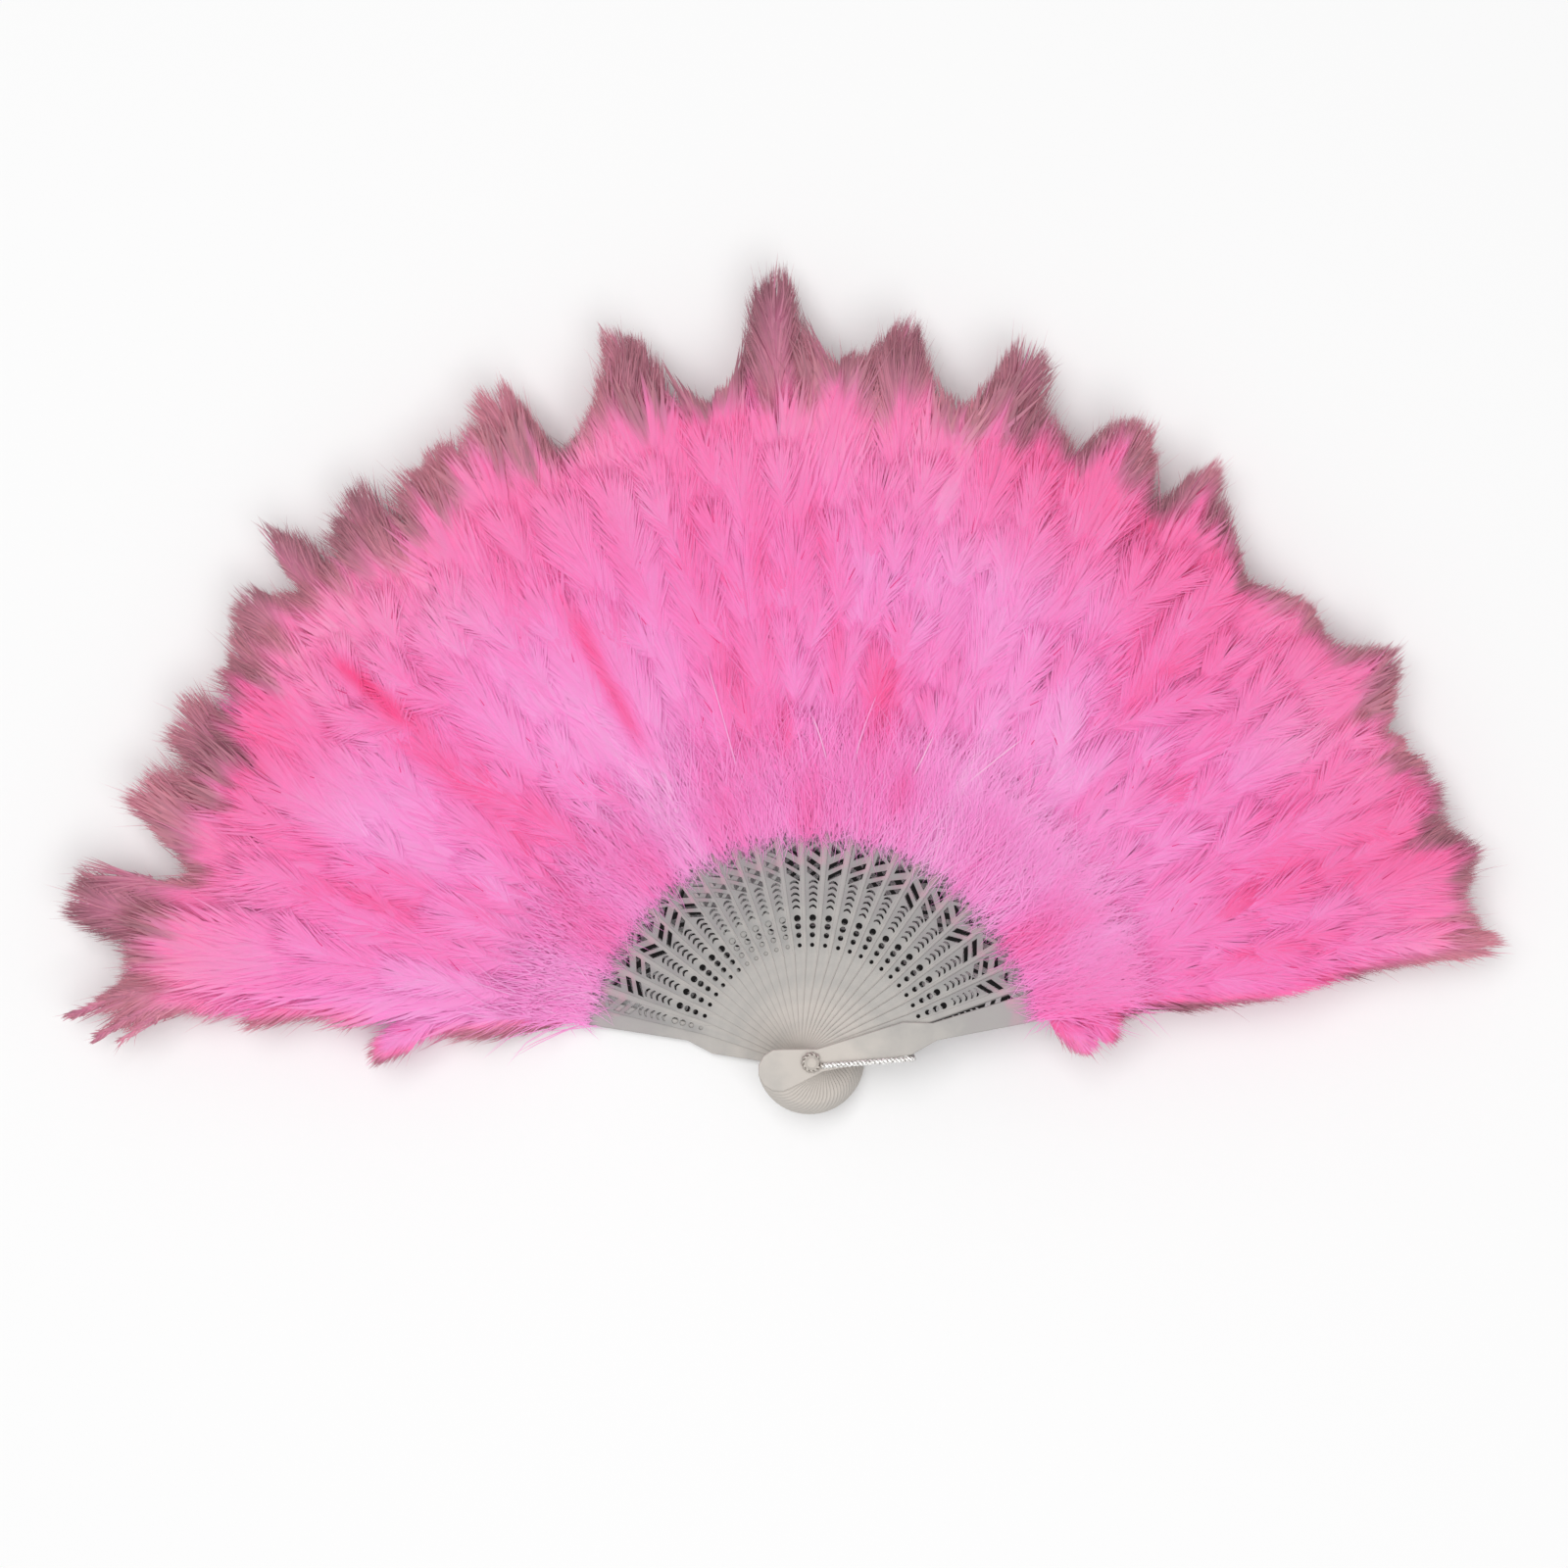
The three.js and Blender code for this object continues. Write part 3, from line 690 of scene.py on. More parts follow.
def stray_hairs(rng, strips, count):
    """Fine single hairs that leave the barbs and stand out of the plume."""
    stations = len(HAIR_HALF_WIDTHS)
    owners = rng.integers(0, len(strips.lines), count)
    picked = np.linspace(0, strips.lines.shape[1] - 1, stations).round().astype(int)
    lines, _, tints, fringe_shade = (values[owners][:, picked] for values in strips)
    swing = rng.normal(size=(count, 1, 3)) * np.array(HAIR_SWING)
    t = np.linspace(0, 1, stations)[None, :, None]
    growth = rng.uniform(*HAIR_LENGTH_SHARES, count)[:, None, None]
    longer = lines[:, :1] + (lines - lines[:, :1]) * growth
    widths = np.tile(HAIR_HALF_WIDTHS, (count, 1))
    return Strips(longer + swing * t ** QUILL_CURVE, widths, tints + HAIR_TINT_RISE, fringe_shade)


def root_down(rng, stick_middle, direction):
    """Soft down where the feathers are glued: most barbs stream outwards, fine ones veil the blade."""
    count = ROOT_HAIRS
    veil = rng.random(count) < VEIL_SHARE
    outwards = STREAM.band * rng.uniform(0, 1, count) ** STREAM_CROWDING - ROOT_SPREAD
    reach = PLUME_ROOT + ROOT_SPREAD * rng.normal(size=count)
    reach = reach + np.where(veil, rng.uniform(0, VEIL.band, count), outwards)
    side = reach * np.tan(np.radians(rng.uniform(-ROOT_HALF_ANGLE, ROOT_HALF_ANGLE, count)))
    inwards = 180 + VEIL.lean * rng.normal(size=count)
    heading = np.radians(np.where(veil, inwards, STREAM.lean * rng.normal(size=count)))
    lengths = np.where(veil, rng.uniform(*VEIL.lengths, count), rng.uniform(*STREAM.lengths, count))
    t = np.linspace(0, 1, len(HAIR_HALF_WIDTHS))[None]
    bend = np.radians(ROOT_BEND * rng.normal(size=count))[:, None] * t
    x = reach[:, None] + lengths[:, None] * t * np.cos(heading[:, None] + bend)
    y = side[:, None] + lengths[:, None] * t * np.sin(heading[:, None] + bend)
    climb = smooth_step(reach, PLUME_ROOT, PLUME_RISE_END) * (LAYERS[0].height - stick_middle)
    base = stick_middle + rng.uniform(*ROOT_HEIGHTS, count) + climb
    z = base[:, None] + np.where(veil, VEIL.slope, STREAM.slope)[:, None] * lengths[:, None] * t
    tints = np.where(veil, VEIL.tint, STREAM.tint) + ROOT_TINT_SPREAD * rng.normal(size=count)
    width_shares = np.where(veil, VEIL.width_share, STREAM.width_share)
    widths = width_shares[:, None] * np.array(HAIR_HALF_WIDTHS)
    lines = turned(np.stack([x, y, z], 2), direction)
    return Strips(lines, widths, np.repeat(tints[:, None], t.size, 1), 0 * x)


def crease_shade_strips(rng, strips, count):
    """Short dark strips of painted shade on the plume's top, where barbs part or fold."""
    owners = rng.integers(0, len(strips.lines), count)
    stations = len(HAIR_HALF_WIDTHS)
    starts, ends = strips.lines[owners, 1], strips.lines[owners, 2]
    steps = unit(ends - starts) * rng.uniform(*CREASE_LENGTHS, count)[:, None]
    t = np.linspace(0, 1, stations)[None, :, None]
    lines = starts[:, None] + steps[:, None] * t + np.array([0, 0, CREASE_LIFT])
    widths = CREASE_WIDTH_SHARE * np.tile(HAIR_HALF_WIDTHS, (count, 1))
    flat = np.ones((count, stations))
    return Strips(lines, widths, CREASE_SHADE_TINT * flat, 0 * flat)


def aimed(feather, reach, bearing, direction):
    """A feather with its tip at a reach and bearing from the rivet, for a stick with a direction."""
    away = math.radians(bearing - direction)
    return feather._replace(tip=reach * math.cos(away), side=reach * math.sin(away))


def plume_feathers(rng, index, direction, stick_middle):
    """One plume's feathers."""
    feathers = []
    for layer in LAYERS:
        height = layer.height + HEIGHT_SPREAD * rng.normal()
        if layer.hang > 0:
            height = max(height, stick_middle + LEAST_COVER)
        if layer.hang < 0:
            height = min(height, stick_middle - LEAST_COVER)
        tip = layer.tip + TIP_SPREAD * rng.normal()
        feathers.append(layer._replace(tip=tip, side=SIDE_SPREAD * rng.normal(), height=height))
    for _ in range(TUFTS_PER_PLUME):
        base = rng.uniform(*TUFT_PLACES)
        length = rng.uniform(*TUFT_LENGTHS)
        side = length * math.tan(math.radians(TUFT_LEAN * rng.normal()))
        height = max(TUFT.height + HEIGHT_SPREAD * rng.normal(), stick_middle + TUFT_COVER)
        feathers.append(TUFT._replace(base=base, tip=base + length, side=side, height=height))
    for stick, reach, bearing in OUTER_TIPS:
        if stick == index:
            upper = aimed(OUTER_FEATHER, reach, bearing, direction)
            feathers += [upper, upper._replace(**UNDER_OUTER)]
    for stick, base, reach, bearing, half_width in EDGE_TIPS:
        if stick == index:
            upper = aimed(EDGE_FEATHER, reach, bearing, direction)._replace(base=base, half_width=half_width)
            upper = upper._replace(height=max(upper.height, stick_middle + EDGE_CLEARANCE))
            feathers += [upper, upper._replace(**UNDER_EDGE)]
    return feathers


def quill_strips(rng, index, feather, quill, direction):
    """The quill itself, pale where it shows through the thin down near the root."""
    line = along(quill, np.linspace(0, 1, QUILL_STRIP_STATIONS))[None]
    reach = line[..., 0]
    bare = index in BARE_QUILLS and feather.base == PLUME_ROOT
    shows = bare * (reach > BARE_QUILL_FROM) * (reach < BARE_QUILL_TO)
    outwards = (reach - BARE_QUILL_FROM) / (BARE_QUILL_TO - BARE_QUILL_FROM)
    line[..., 2] += BARE_QUILL_DIPS * BASE_DIP * shows * outwards
    widths = np.full(reach.shape, QUILL_HALF_WIDTH)
    tints = np.where(shows, QUILL_TINT, COVERED_QUILL_TINT)
    fringe_shade = np.full(reach.shape, QUILL_FRINGE_SHADE_SHARE)
    return trimmed(rng, Strips(turned(line, direction), widths, tints, fringe_shade))


def plume(index):
    """One plume as a single mesh of quills, barbs and down, placed on its stick."""
    direction, stick_middle = stick_place(index)
    rng = np.random.default_rng(SEED + index)
    groups = [root_down(rng, stick_middle, direction)]
    for feather in plume_feathers(rng, index, direction, stick_middle):
        quill = quill_line(rng, feather, stick_middle)
        tint = FEATHER_TINT + FEATHER_TINT_SPREAD * rng.normal()
        barbs = barb_strips(rng, feather, quill, tint, direction)
        groups += [barbs, quill_strips(rng, index, feather, quill, direction)]
        if feather.hang > 0:
            groups.append(stray_hairs(rng, barbs, feather.barbs // BARBS_PER_HAIR))
            groups.append(crease_shade_strips(rng, barbs, CREASES_PER_FEATHER))
    parts = []
    for strips in groups:
        strips.lines[..., 2] = soft_limits(strips.lines[..., 2])
        parts.append(strips_mesh(rng, strips))
    return mesh_object("feathers_" + sector_name(index)[1], *joined(parts))


def soft_limits(height):
    """Keeps barbs above the table and under the plumes' top, gathered softly near both."""
    height = PLUME_FLOOR + LIMIT_SOFTNESS * np.logaddexp(0, (height - PLUME_FLOOR) / LIMIT_SOFTNESS)
    return PLUME_TOP - LIMIT_SOFTNESS * np.logaddexp(0, (PLUME_TOP - height) / LIMIT_SOFTNESS)


def shader_tree(name):
    material = bpy.data.materials.new(name)
    material.use_nodes = True
    tree = material.node_tree
    tree.nodes.clear()
    return material, tree, tree.nodes.new("ShaderNodeOutputMaterial")


def srgb(red, green, blue):
    """A display colour from 0 to 255 as the linear colour that shaders take."""
    shares = np.array([red, green, blue]) / 255
    linear = np.where(shares <= 0.04045, shares / 12.92, ((shares + 0.055) / 1.055) ** 2.4)
    return (*linear, 1)


def feed(tree, value, target):
    """Links an input from another node's output, or sets it to a plain value."""
    if isinstance(value, bpy.types.NodeSocket):
        tree.links.new(value, target)
    else:
        target.default_value = value


def add_node(tree, kind, values):
    """A shader node with some of its inputs fed, by name or place."""
    node = tree.nodes.new("ShaderNode" + kind)
    for name, value in values.items():
        feed(tree, value, node.inputs[name])
    return node


def ramp(tree, value, stops):
    """A colour ramp on a value, with stops of a place and a display colour."""
    node = add_node(tree, "ValToRGB", {"Fac": value})
    elements = node.color_ramp.elements
    for element, (place, *colour) in zip(elements, (stops[0], stops[-1])):
        element.position, element.color = place, srgb(*colour)
    for place, *colour in stops[1:-1]:
        elements.new(place).color = srgb(*colour)
    return node.outputs["Color"]


def map_range(tree, value, source, target=(0, 1)):
    limits = dict(zip(("From Min", "From Max", "To Min", "To Max"), (*source, *target)))
    return add_node(tree, "MapRange", {"Value": value, **limits}).outputs["Result"]


def between(tree, value, start, end):
    """From 0 at one length to 1 at another, both in millimetres."""
    return map_range(tree, value, (start * MM, end * MM))


def mix_colours(tree, share, first, second):
    """A mix of two colours, each a socket or a plain colour."""
    node = tree.nodes.new("ShaderNodeMix")
    node.data_type = "RGBA"
    for name, value in (("Factor", share), ("A", first), ("B", second)):
        feed(tree, value, node.inputs[name])
    return node.outputs["Result"]


def math_node(tree, operation, *values):
    node = tree.nodes.new("ShaderNodeMath")
    node.operation = operation
    for place, value in enumerate(values):
        feed(tree, value, node.inputs[place])
    return node.outputs["Value"]


def distance_from_axis(tree, place):
    split = add_node(tree, "SeparateXYZ", {"Vector": place})
    squares = [math_node(tree, "POWER", split.outputs[axis], 2) for axis in ("X", "Y")]
    return math_node(tree, "SQRT", math_node(tree, "ADD", *squares))


def translucent_surface(tree, output, colour, roughness, specular, through):
    """A surface that scatters part of its light through to the other side."""
    looks = {"Base Color": colour, "Roughness": roughness, "Specular IOR Level": specular}
    surface = add_node(tree, "BsdfPrincipled", looks)
    glow = add_node(tree, "BsdfTranslucent", {"Color": colour})
    shares = {"Fac": through, 1: surface.outputs["BSDF"], 2: glow.outputs["BSDF"]}
    blend = add_node(tree, "MixShader", shares)
    tree.links.new(blend.outputs["Shader"], output.inputs["Surface"])


def feather_material():
    """Dyed down, pink at the root and salmon further out, with a painted dusky rose shade in the thin
    fringe.
    """
    material, tree, output = shader_tree("feather_down")
    place = tree.nodes.new("ShaderNodeUVMap")
    place.uv_map = "OFBake"
    split = add_node(tree, "SeparateXYZ", {"Vector": place.outputs["UV"]})
    outwards, tint = split.outputs["X"], split.outputs["Y"]
    pink, salmon, fringe_shade = (ramp(tree, tint, stops) for stops in (PINK_STOPS, SALMON_STOPS, FRINGE_SHADE_STOPS))
    inner = mix_colours(tree, map_range(tree, outwards, SALMON_PLACES), pink, salmon)
    colour = mix_colours(tree, map_range(tree, outwards, FRINGE_SHADE_PLACES), inner, fringe_shade)
    translucent_surface(tree, output, colour, DOWN_ROUGHNESS, DOWN_SPECULAR, DOWN_THROUGH)
    return material


def covered_share(tree, along_stick, across):
    """Where shade is painted: 1 on the half under the next stick's holes, on its upper face and as far as
    the pattern goes.
    """
    normal = tree.nodes.new("ShaderNodeTexCoord").outputs["Normal"]
    facing = add_node(tree, "SeparateXYZ", {"Vector": normal}).outputs["Z"]
    share = between(tree, across, -HOLE_SHADE_FROM, -HOLE_SHADE_TO)
    limits = (
        map_range(tree, facing, FACE_UP_RANGE),
        between(tree, along_stick, PATTERN_FROM, PATTERN_FROM + PATTERN_FADE),
        between(tree, along_stick, PATTERN_TO, PATTERN_TO - PATTERN_FADE),
    )
    for limit in limits:
        share = math_node(tree, "MULTIPLY", share, limit)
    return share


def plastic_material(name, ribbed=False, shaded=False):
    """Milky moulded plastic, warm and dense at the handle, with painted shade that greys it where the blades
    thin out and a painted pink light of the down showing through at their ends. A shaded copy also has
    painted shade on the half under the next stick's holes.
    """
    material, tree, output = shader_tree(name)
    place = tree.nodes.new("ShaderNodeTexCoord").outputs["Object"]
    split = add_node(tree, "SeparateXYZ", {"Vector": place})
    reach = distance_from_axis(tree, place)
    looks = {"Vector": place, "Scale": PLASTIC_CLOUD_SCALE, "Detail": PLASTIC_CLOUD_DETAIL}
    cloud = add_node(tree, "TexNoise", looks).outputs["Fac"]
    stray = map_range(tree, cloud, PLASTIC_CLOUD_RANGE, (-PLASTIC_STRAY_SHARE, PLASTIC_STRAY_SHARE))
    outwards = math_node(tree, "ADD", between(tree, reach, 0, PLASTIC_SHADE_END), stray)
    colour = ramp(tree, outwards, PLASTIC_TONE_AND_SHADE_STOPS)
    if ribbed:
        aside = math_node(tree, "ABSOLUTE", split.outputs["Y"])
        thin_shade = between(tree, aside, THIN_PLASTIC_FROM, THIN_PLASTIC_TO)
        colour = mix_colours(tree, thin_shade, colour, ramp(tree, outwards, THIN_PLASTIC_SHADE_STOPS))
    roughness = map_range(tree, cloud, (0, 1), PLASTIC_ROUGHNESS)
    # A shaded copy paints shade on the covered half and makes it rough there, so that no lamp's reflection
    # lightens it
    if shaded:
        share = covered_share(tree, split.outputs["X"], split.outputs["Y"])
        colour = mix_colours(tree, share, colour, srgb(*HOLE_SHADE_COLOUR))
        roughness = math_node(tree, "MAXIMUM", roughness, share)
    translucent_surface(tree, output, colour, roughness, PLASTIC_SPECULAR, PLASTIC_THROUGH)
    return material


def metal_material(name, colour, dark, roughness, grain, plain_within=0):
    """Plated metal with small flecks of gloss and shade, but plain and duller near the rivet's axis."""
    material, tree, output = shader_tree(name)
    place = tree.nodes.new("ShaderNodeTexCoord").outputs["Object"]
    noise = add_node(tree, "TexNoise", {"Vector": place, "Scale": grain}).outputs["Fac"]
    dark_below, bright_above = METAL_FLECKS
    flecks = ramp(tree, noise, ((dark_below, *dark), (bright_above, *colour)))
    reach = distance_from_axis(tree, place)
    apart = between(tree, reach, plain_within, plain_within + METAL_FADE)
    shade = mix_colours(tree, apart, srgb(*RIVET_COLOUR), flecks)
    gloss = map_range(tree, noise, (0, 1), (roughness - GLOSS_SPREAD, roughness + GLOSS_SPREAD))
    looks = {"Base Color": shade, "Metallic": METALLIC, "Roughness": gloss}
    surface = add_node(tree, "BsdfPrincipled", looks)
    tree.links.new(surface.outputs["BSDF"], output.inputs["Surface"])
    return material


def blade_half_width(place):
    rise = min((place - BLADE_START) / (BLADE_WIDEST - BLADE_START), 1)
    return BLADE_START_HALF + rise * (BLADE_HALF - BLADE_START_HALF)


def pattern_point(along_share, across_share):
    """A point of the pierced pattern, across from the midrib at 0 to the rim at 1."""
    x = BLADE_START + along_share * (BLADE_END - BLADE_START)
    outer = blade_half_width(x) - RIM_WIDTH
    return x, RIB_HALF + across_share * (outer - RIB_HALF)


def round_outline(x, y, radius, sides):
    turns = [2 * math.pi * side / sides for side in range(sides)]
    return [(x + radius * math.cos(turn), y + radius * math.sin(turn)) for turn in turns]


def arc_outline(share, steps=7):
    """A small arch across half the blade, bulging outwards."""
    x, inner = pattern_point(share, ARC_ENDS_SHARES[0])
    _, outer = pattern_point(share, ARC_ENDS_SHARES[1])
    outside, inside = [], []
    for step in range(steps):
        part = step / (steps - 1)
        y = inner + part * (outer - inner)
        rise = ARC_RISE * math.sin(math.pi * part)
        outside.append((x + rise + ARC_WIDTH / 2, y))
        inside.append((x + ARC_INNER_RISE_SHARE * rise - ARC_WIDTH / 2, y))
    return outside + inside[::-1]


def slash_outline(start, end):
    (x0, y0), (x1, y1) = start, end
    half = SLASH_WIDTH / 2
    return [(x0 - half, y0), (x0 + half, y0), (x1 + half, y1), (x1 - half, y1)]


def half_pattern(leans_back):
    """The holes of half a blade, whose slanted holes and wedge may lean back towards the midrib."""
    near, far = (1, 0) if leans_back else (0, 1)
    base = near + WEDGE_BASE_SHARE * (far - near)
    dots = zip(DOT_SHARES, DOT_RADII)
    holes = [round_outline(*pattern_point(share, 0.5), radius, DOT_SIDES) for share, radius in dots]
    holes += [arc_outline(share) for share in ARC_SHARES]
    for start, end in SLASHES_OUT_SHARES:
        holes.append(slash_outline(pattern_point(start, near), pattern_point(end, far)))
    low, high = WEDGE_SHARES
    point = pattern_point((low + high) / 2, near + WEDGE_DEPTH_SHARE * (far - near))
    holes.append([pattern_point(low, base), point, pattern_point(high, base)])
    for start, end in SLASHES_IN_SHARES:
        holes.append(slash_outline(pattern_point(start, far), pattern_point(end, base)))
    return holes


def head_arc(steps=10):
    centre = HEAD_RADIUS - HEAD_REACH
    points = [(-HEAD_REACH, 0)]
    for step in range(1, steps + 1):
        turn = math.pi - math.radians(HEAD_ARC_ANGLE * step / steps)
        points.append((centre + HEAD_RADIUS * math.cos(turn), HEAD_RADIUS * math.sin(turn)))
    return points


def plate_mesh(name, outline, holes, thickness, level=0):
    """A flat plate with holes and softened edges, its middle at a level."""
    curve = bpy.data.curves.new(name, "CURVE")
    curve.dimensions = "2D"
    curve.fill_mode = "BOTH"
    curve.extrude = (thickness / 2 - EDGE_BEVEL) * MM
    curve.bevel_depth = EDGE_BEVEL * MM
    curve.offset = -EDGE_BEVEL * MM
    curve.bevel_resolution = 1
    for loop in [outline, *holes]:
        spline = curve.splines.new("POLY")
        spline.points.add(len(loop) - 1)
        spline.points.foreach_set("co", [value * MM for x, y in loop for value in (x, y, 0, 1 / MM)])
        spline.use_cyclic_u = True
    holder = placed(name, curve)
    mesh = bpy.data.meshes.new_from_object(holder.evaluated_get(bpy.context.evaluated_depsgraph_get()))
    mesh.transform(Matrix.Translation((0, 0, level * MM)))
    bpy.data.objects.remove(holder)
    bpy.data.curves.remove(curve)
    return mesh


def mirrored(upper):
    """A whole outline from its upper half, which starts on the axis."""
    return [(x, -y) for x, y in upper] + upper[:0:-1]


def stick_mesh(name, leans_back, material):
    """An inner stick: the pierced plate with a low rib along the blade's middle.

    The holes of its lower half sit nearer the rivet, so that they never lie under the next stick's.
    """
    upper = head_arc() + [
        (WAIST_AT, WAIST_HALF), (BLADE_START, BLADE_START_HALF), (BLADE_WIDEST, BLADE_HALF),
        (BLADE_END, BLADE_HALF), (TONGUE_START, TONGUE_HALF), (TONGUE_END, TONGUE_TIP_HALF),
    ]
    upper_holes = half_pattern(leans_back)
    lower_holes = [[(x - PATTERN_STAGGER, -y) for x, y in hole] for hole in upper_holes]
    holes = [round_outline(0, 0, PIN_HOLE_RADIUS, PIN_HOLE_SIDES), *upper_holes, *lower_holes]
    plate = plate_mesh("plate", mirrored(upper), holes, STICK_THICKNESS)
    rib_outline = mirrored([(RIB_FROM, 0), (RIB_FROM + RIB_POINT, RIB_TOP_HALF), (RIB_TO, RIB_TOP_HALF)])
    rib = plate_mesh("rib", rib_outline, [], 2 * RIB_HEIGHT, STICK_THICKNESS / 2)
    both = bmesh.new()
    both.from_mesh(plate)
    both.from_mesh(rib)
    mesh = bpy.data.meshes.new(name)
    both.to_mesh(mesh)
    both.free()
    mesh.materials.append(material)
    return mesh


def add_sticks(painted_shade_material, unshaded_material):
    """The inner sticks with their whole pierced pattern, each over its CAD stick.

    What shows in a stick's holes is the covered half of the stick before it, which has painted shade on its
    upper face unless the stick in front is a faint one.
    """
    for index in range(1, LAST):
        direction, middle = stick_place(index)
        node, _, body = sector_name(index)
        material = unshaded_material if index + 1 in FAINT_STICKS else painted_shade_material
        mesh = stick_mesh("pierced_" + node, index in MIRRORED_STICKS, material)
        stick = placed("pierced_" + node, mesh)
        stick.location.z = middle * MM
        stick.rotation_euler.z = math.radians(direction)
        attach(stick, body)
        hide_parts(node)


def add_plumes(material):
    for index in range(LAST + 1):
        feathers = plume(index)
        feathers.data.materials.append(material)
        _, node, body = sector_name(index)
        _, middle = stick_place(index)
        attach(feathers, body)
        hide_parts(node)
        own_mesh(feathers)


def bail_route():
    """Middle line of the bail's wire in its own upright plane: round the rivet, out, up and back."""
    points = node_points("bail")
    reach = np.hypot(points[:, 0], points[:, 1])
    tip = points[reach > reach.max() - BAIL_DIAMETER].mean(0)
    direction = math.degrees(math.atan2(tip[1], tip[0]))
    low = points[:, 2].min() + BAIL_DIAMETER / 2
    high = points[:, 2].max() - BAIL_DIAMETER / 2
    corner = reach.max() - BAIL_DIAMETER / 2 - BAIL_CORNER
    turns = np.radians(np.linspace(*BAIL_EYE_ENDS, BAIL_EYE_STATIONS))
    eye = [(BAIL_EYE_RADIUS * math.cos(turn), BAIL_EYE_RADIUS * math.sin(turn), low) for turn in turns]
    bends = np.radians(np.linspace(-90, 0, BAIL_BEND_STATIONS))
    bend = [(corner + BAIL_CORNER * math.cos(a), 0, low + BAIL_CORNER * (1 + math.sin(a))) for a in bends]
    lower = np.array(eye + bend)
    upper = lower[::-1] * np.array([1, 1, -1]) + np.array([0, 0, low + high])
    return turned(np.concatenate([lower, upper]), direction)


def spaced(path, spacing):
    """A path with points at an even spacing."""
    steps = np.linalg.norm(np.diff(path, axis=0), axis=1)
    travelled = np.concatenate([[0], np.cumsum(steps)])
    places = np.arange(0, travelled[-1], spacing)
    return np.stack([np.interp(places, travelled, path[:, axis]) for axis in range(3)], 1)


def crossways(path):
    """Two directions across each point of a path, square to it and to each other."""
    tangents = unit(np.gradient(path, axis=0))
    first = unit(np.cross(tangents, SKEW))
    return first, np.cross(tangents, first)


def tube(path, radius, sides=8):
    """Points and triangles of a closed round wire along a path."""
    first, second = crossways(path)
    turns = 2 * math.pi * np.arange(sides) / sides
    rings = first[:, None] * np.cos(turns)[None, :, None] + second[:, None] * np.sin(turns)[None, :, None]
    points = (path[:, None] + radius * rings).reshape(-1, 3)
    triangles = []
    for ring in range(len(path) - 1):
        for side in range(sides):
            a, b = ring * sides + side, ring * sides + (side + 1) % sides
            triangles += [(a, b, b + sides), (a, b + sides, a + sides)]
    last = (len(path) - 1) * sides
    for side in range(1, sides - 1):
        triangles += [(0, side + 1, side), (last, last + side, last + side + 1)]
    return points, np.array(triangles)


def add_bail(material):
    """Two strands of bright wire twisted into one loop."""
    path = spaced(bail_route(), BAIL_STATION)
    first, second = crossways(path)
    phases = 2 * math.pi * BAIL_STATION * np.arange(len(path)) / BAIL_TWIST_PITCH
    parts = []
    for strand in range(2):
        turn = (phases + strand * math.pi)[:, None]
        offset = BAIL_STRAND_RADIUS * (first * np.cos(turn) + second * np.sin(turn))
        parts.append(tube(path + offset, BAIL_STRAND_RADIUS))
    bail = mesh_object("twisted_bail", *joined(parts))
    bail.data.materials.append(material)
    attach(bail, "bail_loop")
    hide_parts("bail")


def paint(names, material):
    """Gives shown CAD nodes a better material."""
    for name in names:
        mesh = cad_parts[name].data
        mesh.materials.clear()
        mesh.materials.append(material)


def add_floor():
    """A pale table that keeps the fan's shadow."""
    half = TABLE_HALF
    mesh = bpy.data.meshes.new("table")
    corners = [(-half, -half, 0), (half, -half, 0), (half, half, 0), (-half, half, 0)]
    mesh.from_pydata(corners, [], [(0, 1, 2, 3)])
    table = placed("table", mesh)
    material, tree, output = shader_tree("pale_table")
    matt = tree.nodes.new("ShaderNodeBsdfDiffuse")
    matt.inputs["Color"].default_value = (TABLE_SHADE, TABLE_SHADE, TABLE_SHADE, 1)
    tree.links.new(matt.outputs["BSDF"], output.inputs["Surface"])
    mesh.materials.append(material)


def add_area_light(name, place, power):
    light = bpy.data.lights.new(name, "AREA")
    light.size = LIGHT_SIZE
    light.energy = power
    lamp = placed(name, light)
    lamp.location = place
    lamp.rotation_euler = (-Vector(place)).to_track_quat("-Z", "Y").to_euler()


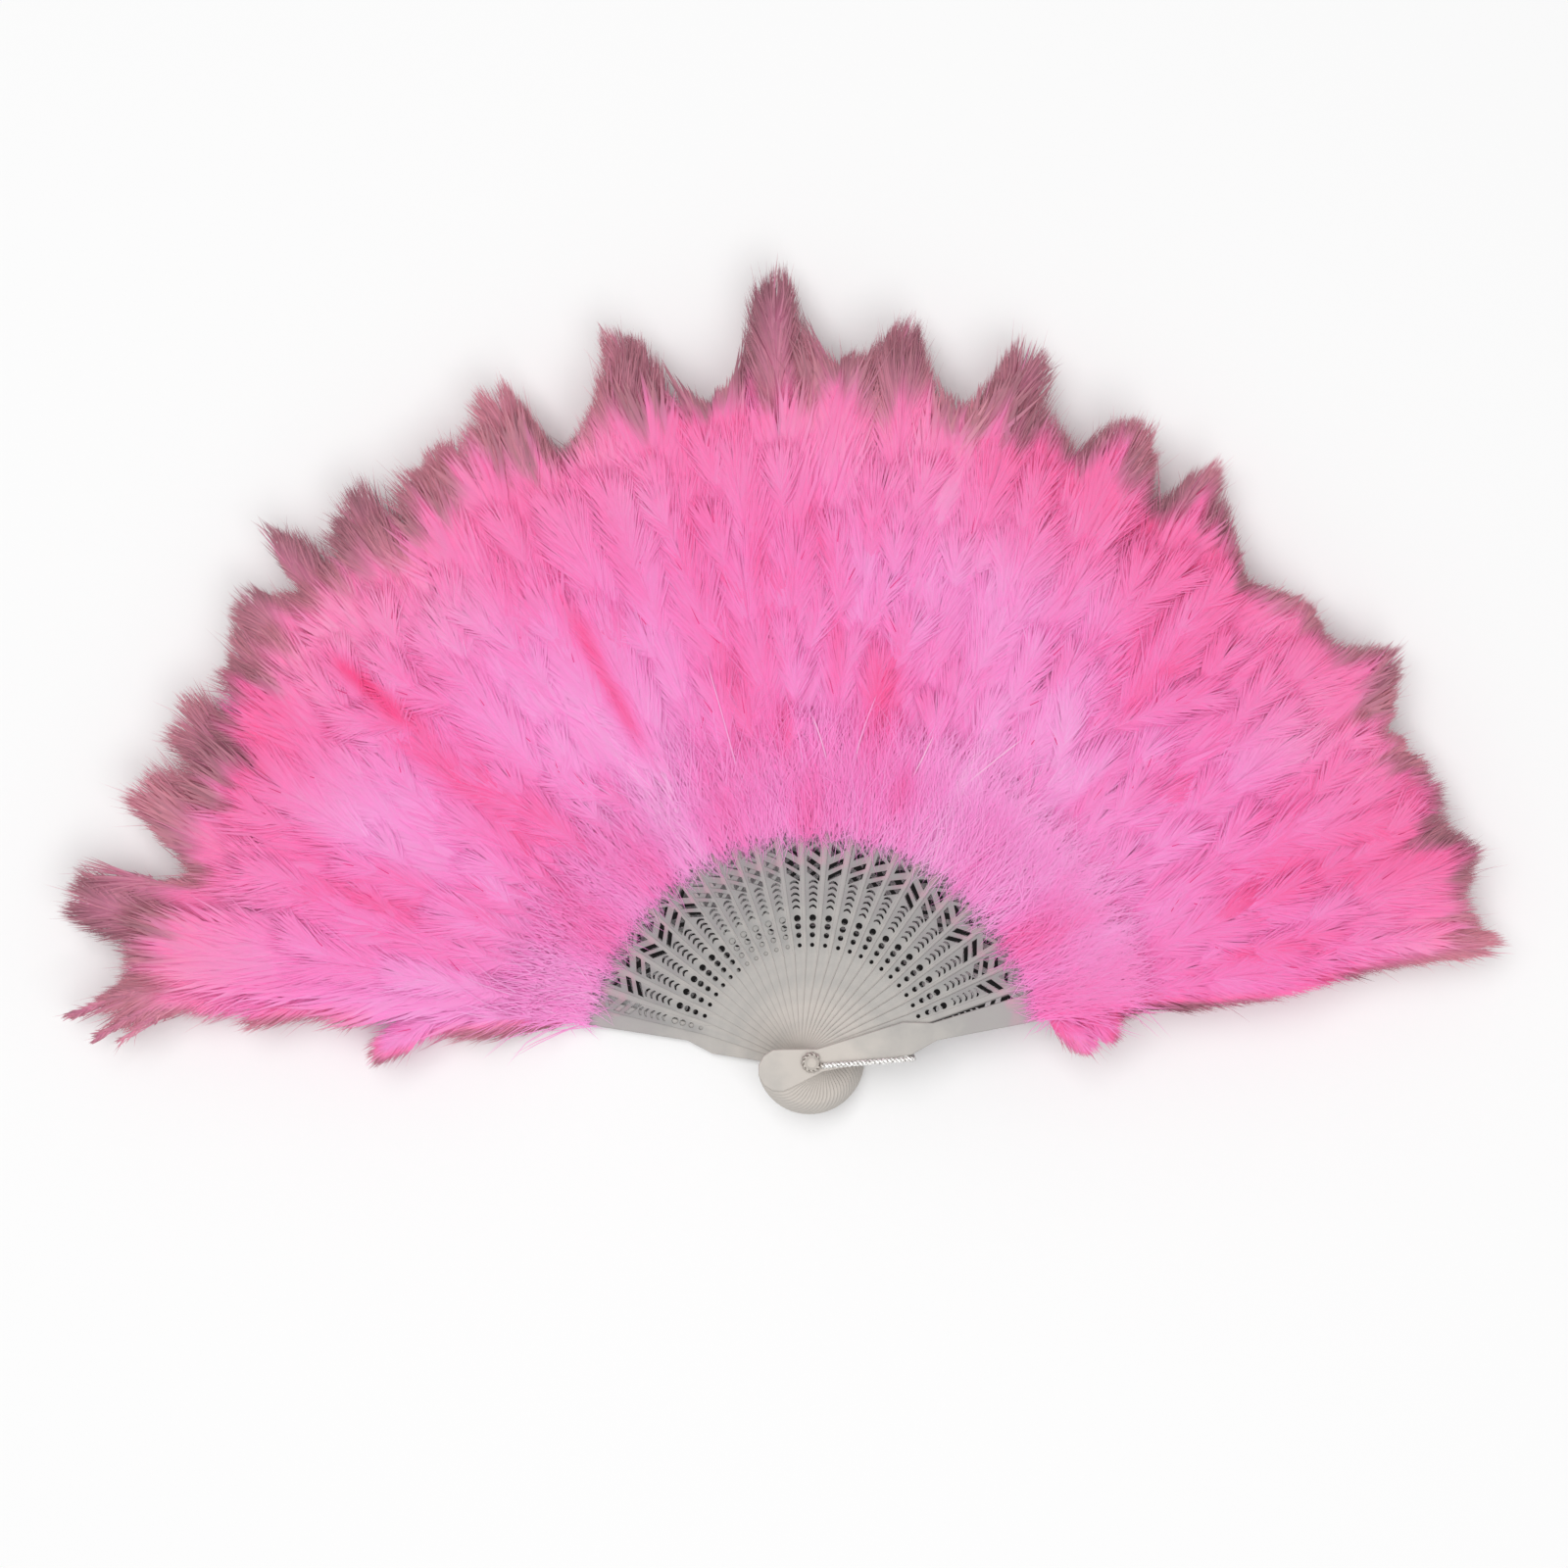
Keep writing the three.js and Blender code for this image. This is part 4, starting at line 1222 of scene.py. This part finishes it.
def add_lights():
    """Two soft lamps nearly overhead, and an even world that the camera sees as white."""
    add_area_light("key_light", *KEY_LIGHT)
    add_area_light("fill_light", *FILL_LIGHT)
    world = bpy.data.worlds.new("studio")
    world.use_nodes = True
    tree = world.node_tree
    rays = tree.nodes.new("ShaderNodeLightPath")
    seen = math_node(tree, "ADD", rays.outputs["Is Camera Ray"], rays.outputs["Is Glossy Ray"])
    seen = math_node(tree, "ADD", seen, rays.outputs["Is Transmission Ray"])
    strength = map_range(tree, seen, (0, 1), (WORLD_STRENGTH, 1))
    background = tree.nodes["Background"]
    background.inputs["Color"].default_value = (1, 1, 1, 1)
    tree.links.new(strength, background.inputs["Strength"])
    bpy.context.scene.world = world


def add_camera():
    """A camera straight above, framed as the photograph is."""
    camera = bpy.data.cameras.new("camera")
    camera.lens = CAMERA_LENS
    camera.sensor_width = CAMERA_SENSOR
    distance = FRAME_PIXELS * PIXEL_SIZE * CAMERA_LENS / CAMERA_SENSOR
    holder = placed("camera", camera)
    centre = FRAME_PIXELS / 2
    x = (centre - RIVET_PIXEL[0]) * PIXEL_SIZE
    y = (RIVET_PIXEL[1] - centre) * PIXEL_SIZE
    holder.location = (x * MM, y * MM, (distance + CAMERA_AIM_HEIGHT) * MM)
    bpy.context.scene.camera = holder


add_camera()
add_lights()
add_floor()
# Sticks with painted shade on their covered half, and an unshaded copy for the sticks before the faint ones
add_sticks(
    plastic_material("milky_shaded_stick_plastic", ribbed=True, shaded=True),
    plastic_material("milky_pale_plastic", ribbed=True),
)
add_plumes(feather_material())
wire_looks = WIRE_COLOUR, WIRE_DARK, WIRE_ROUGHNESS, WIRE_GRAIN
add_bail(metal_material("bright_wire", *wire_looks, plain_within=BAIL_PLAIN_WITHIN))
paint(["back_guard", "front_guard"], plastic_material("milky_guard_plastic"))
rivet_looks = RIVET_COLOUR, RIVET_DARK, RIVET_ROUGHNESS, RIVET_GRAIN
paint(["rivet"], metal_material("pale_plating", *rivet_looks))

bpy.context.scene.view_settings.view_transform = "Standard"
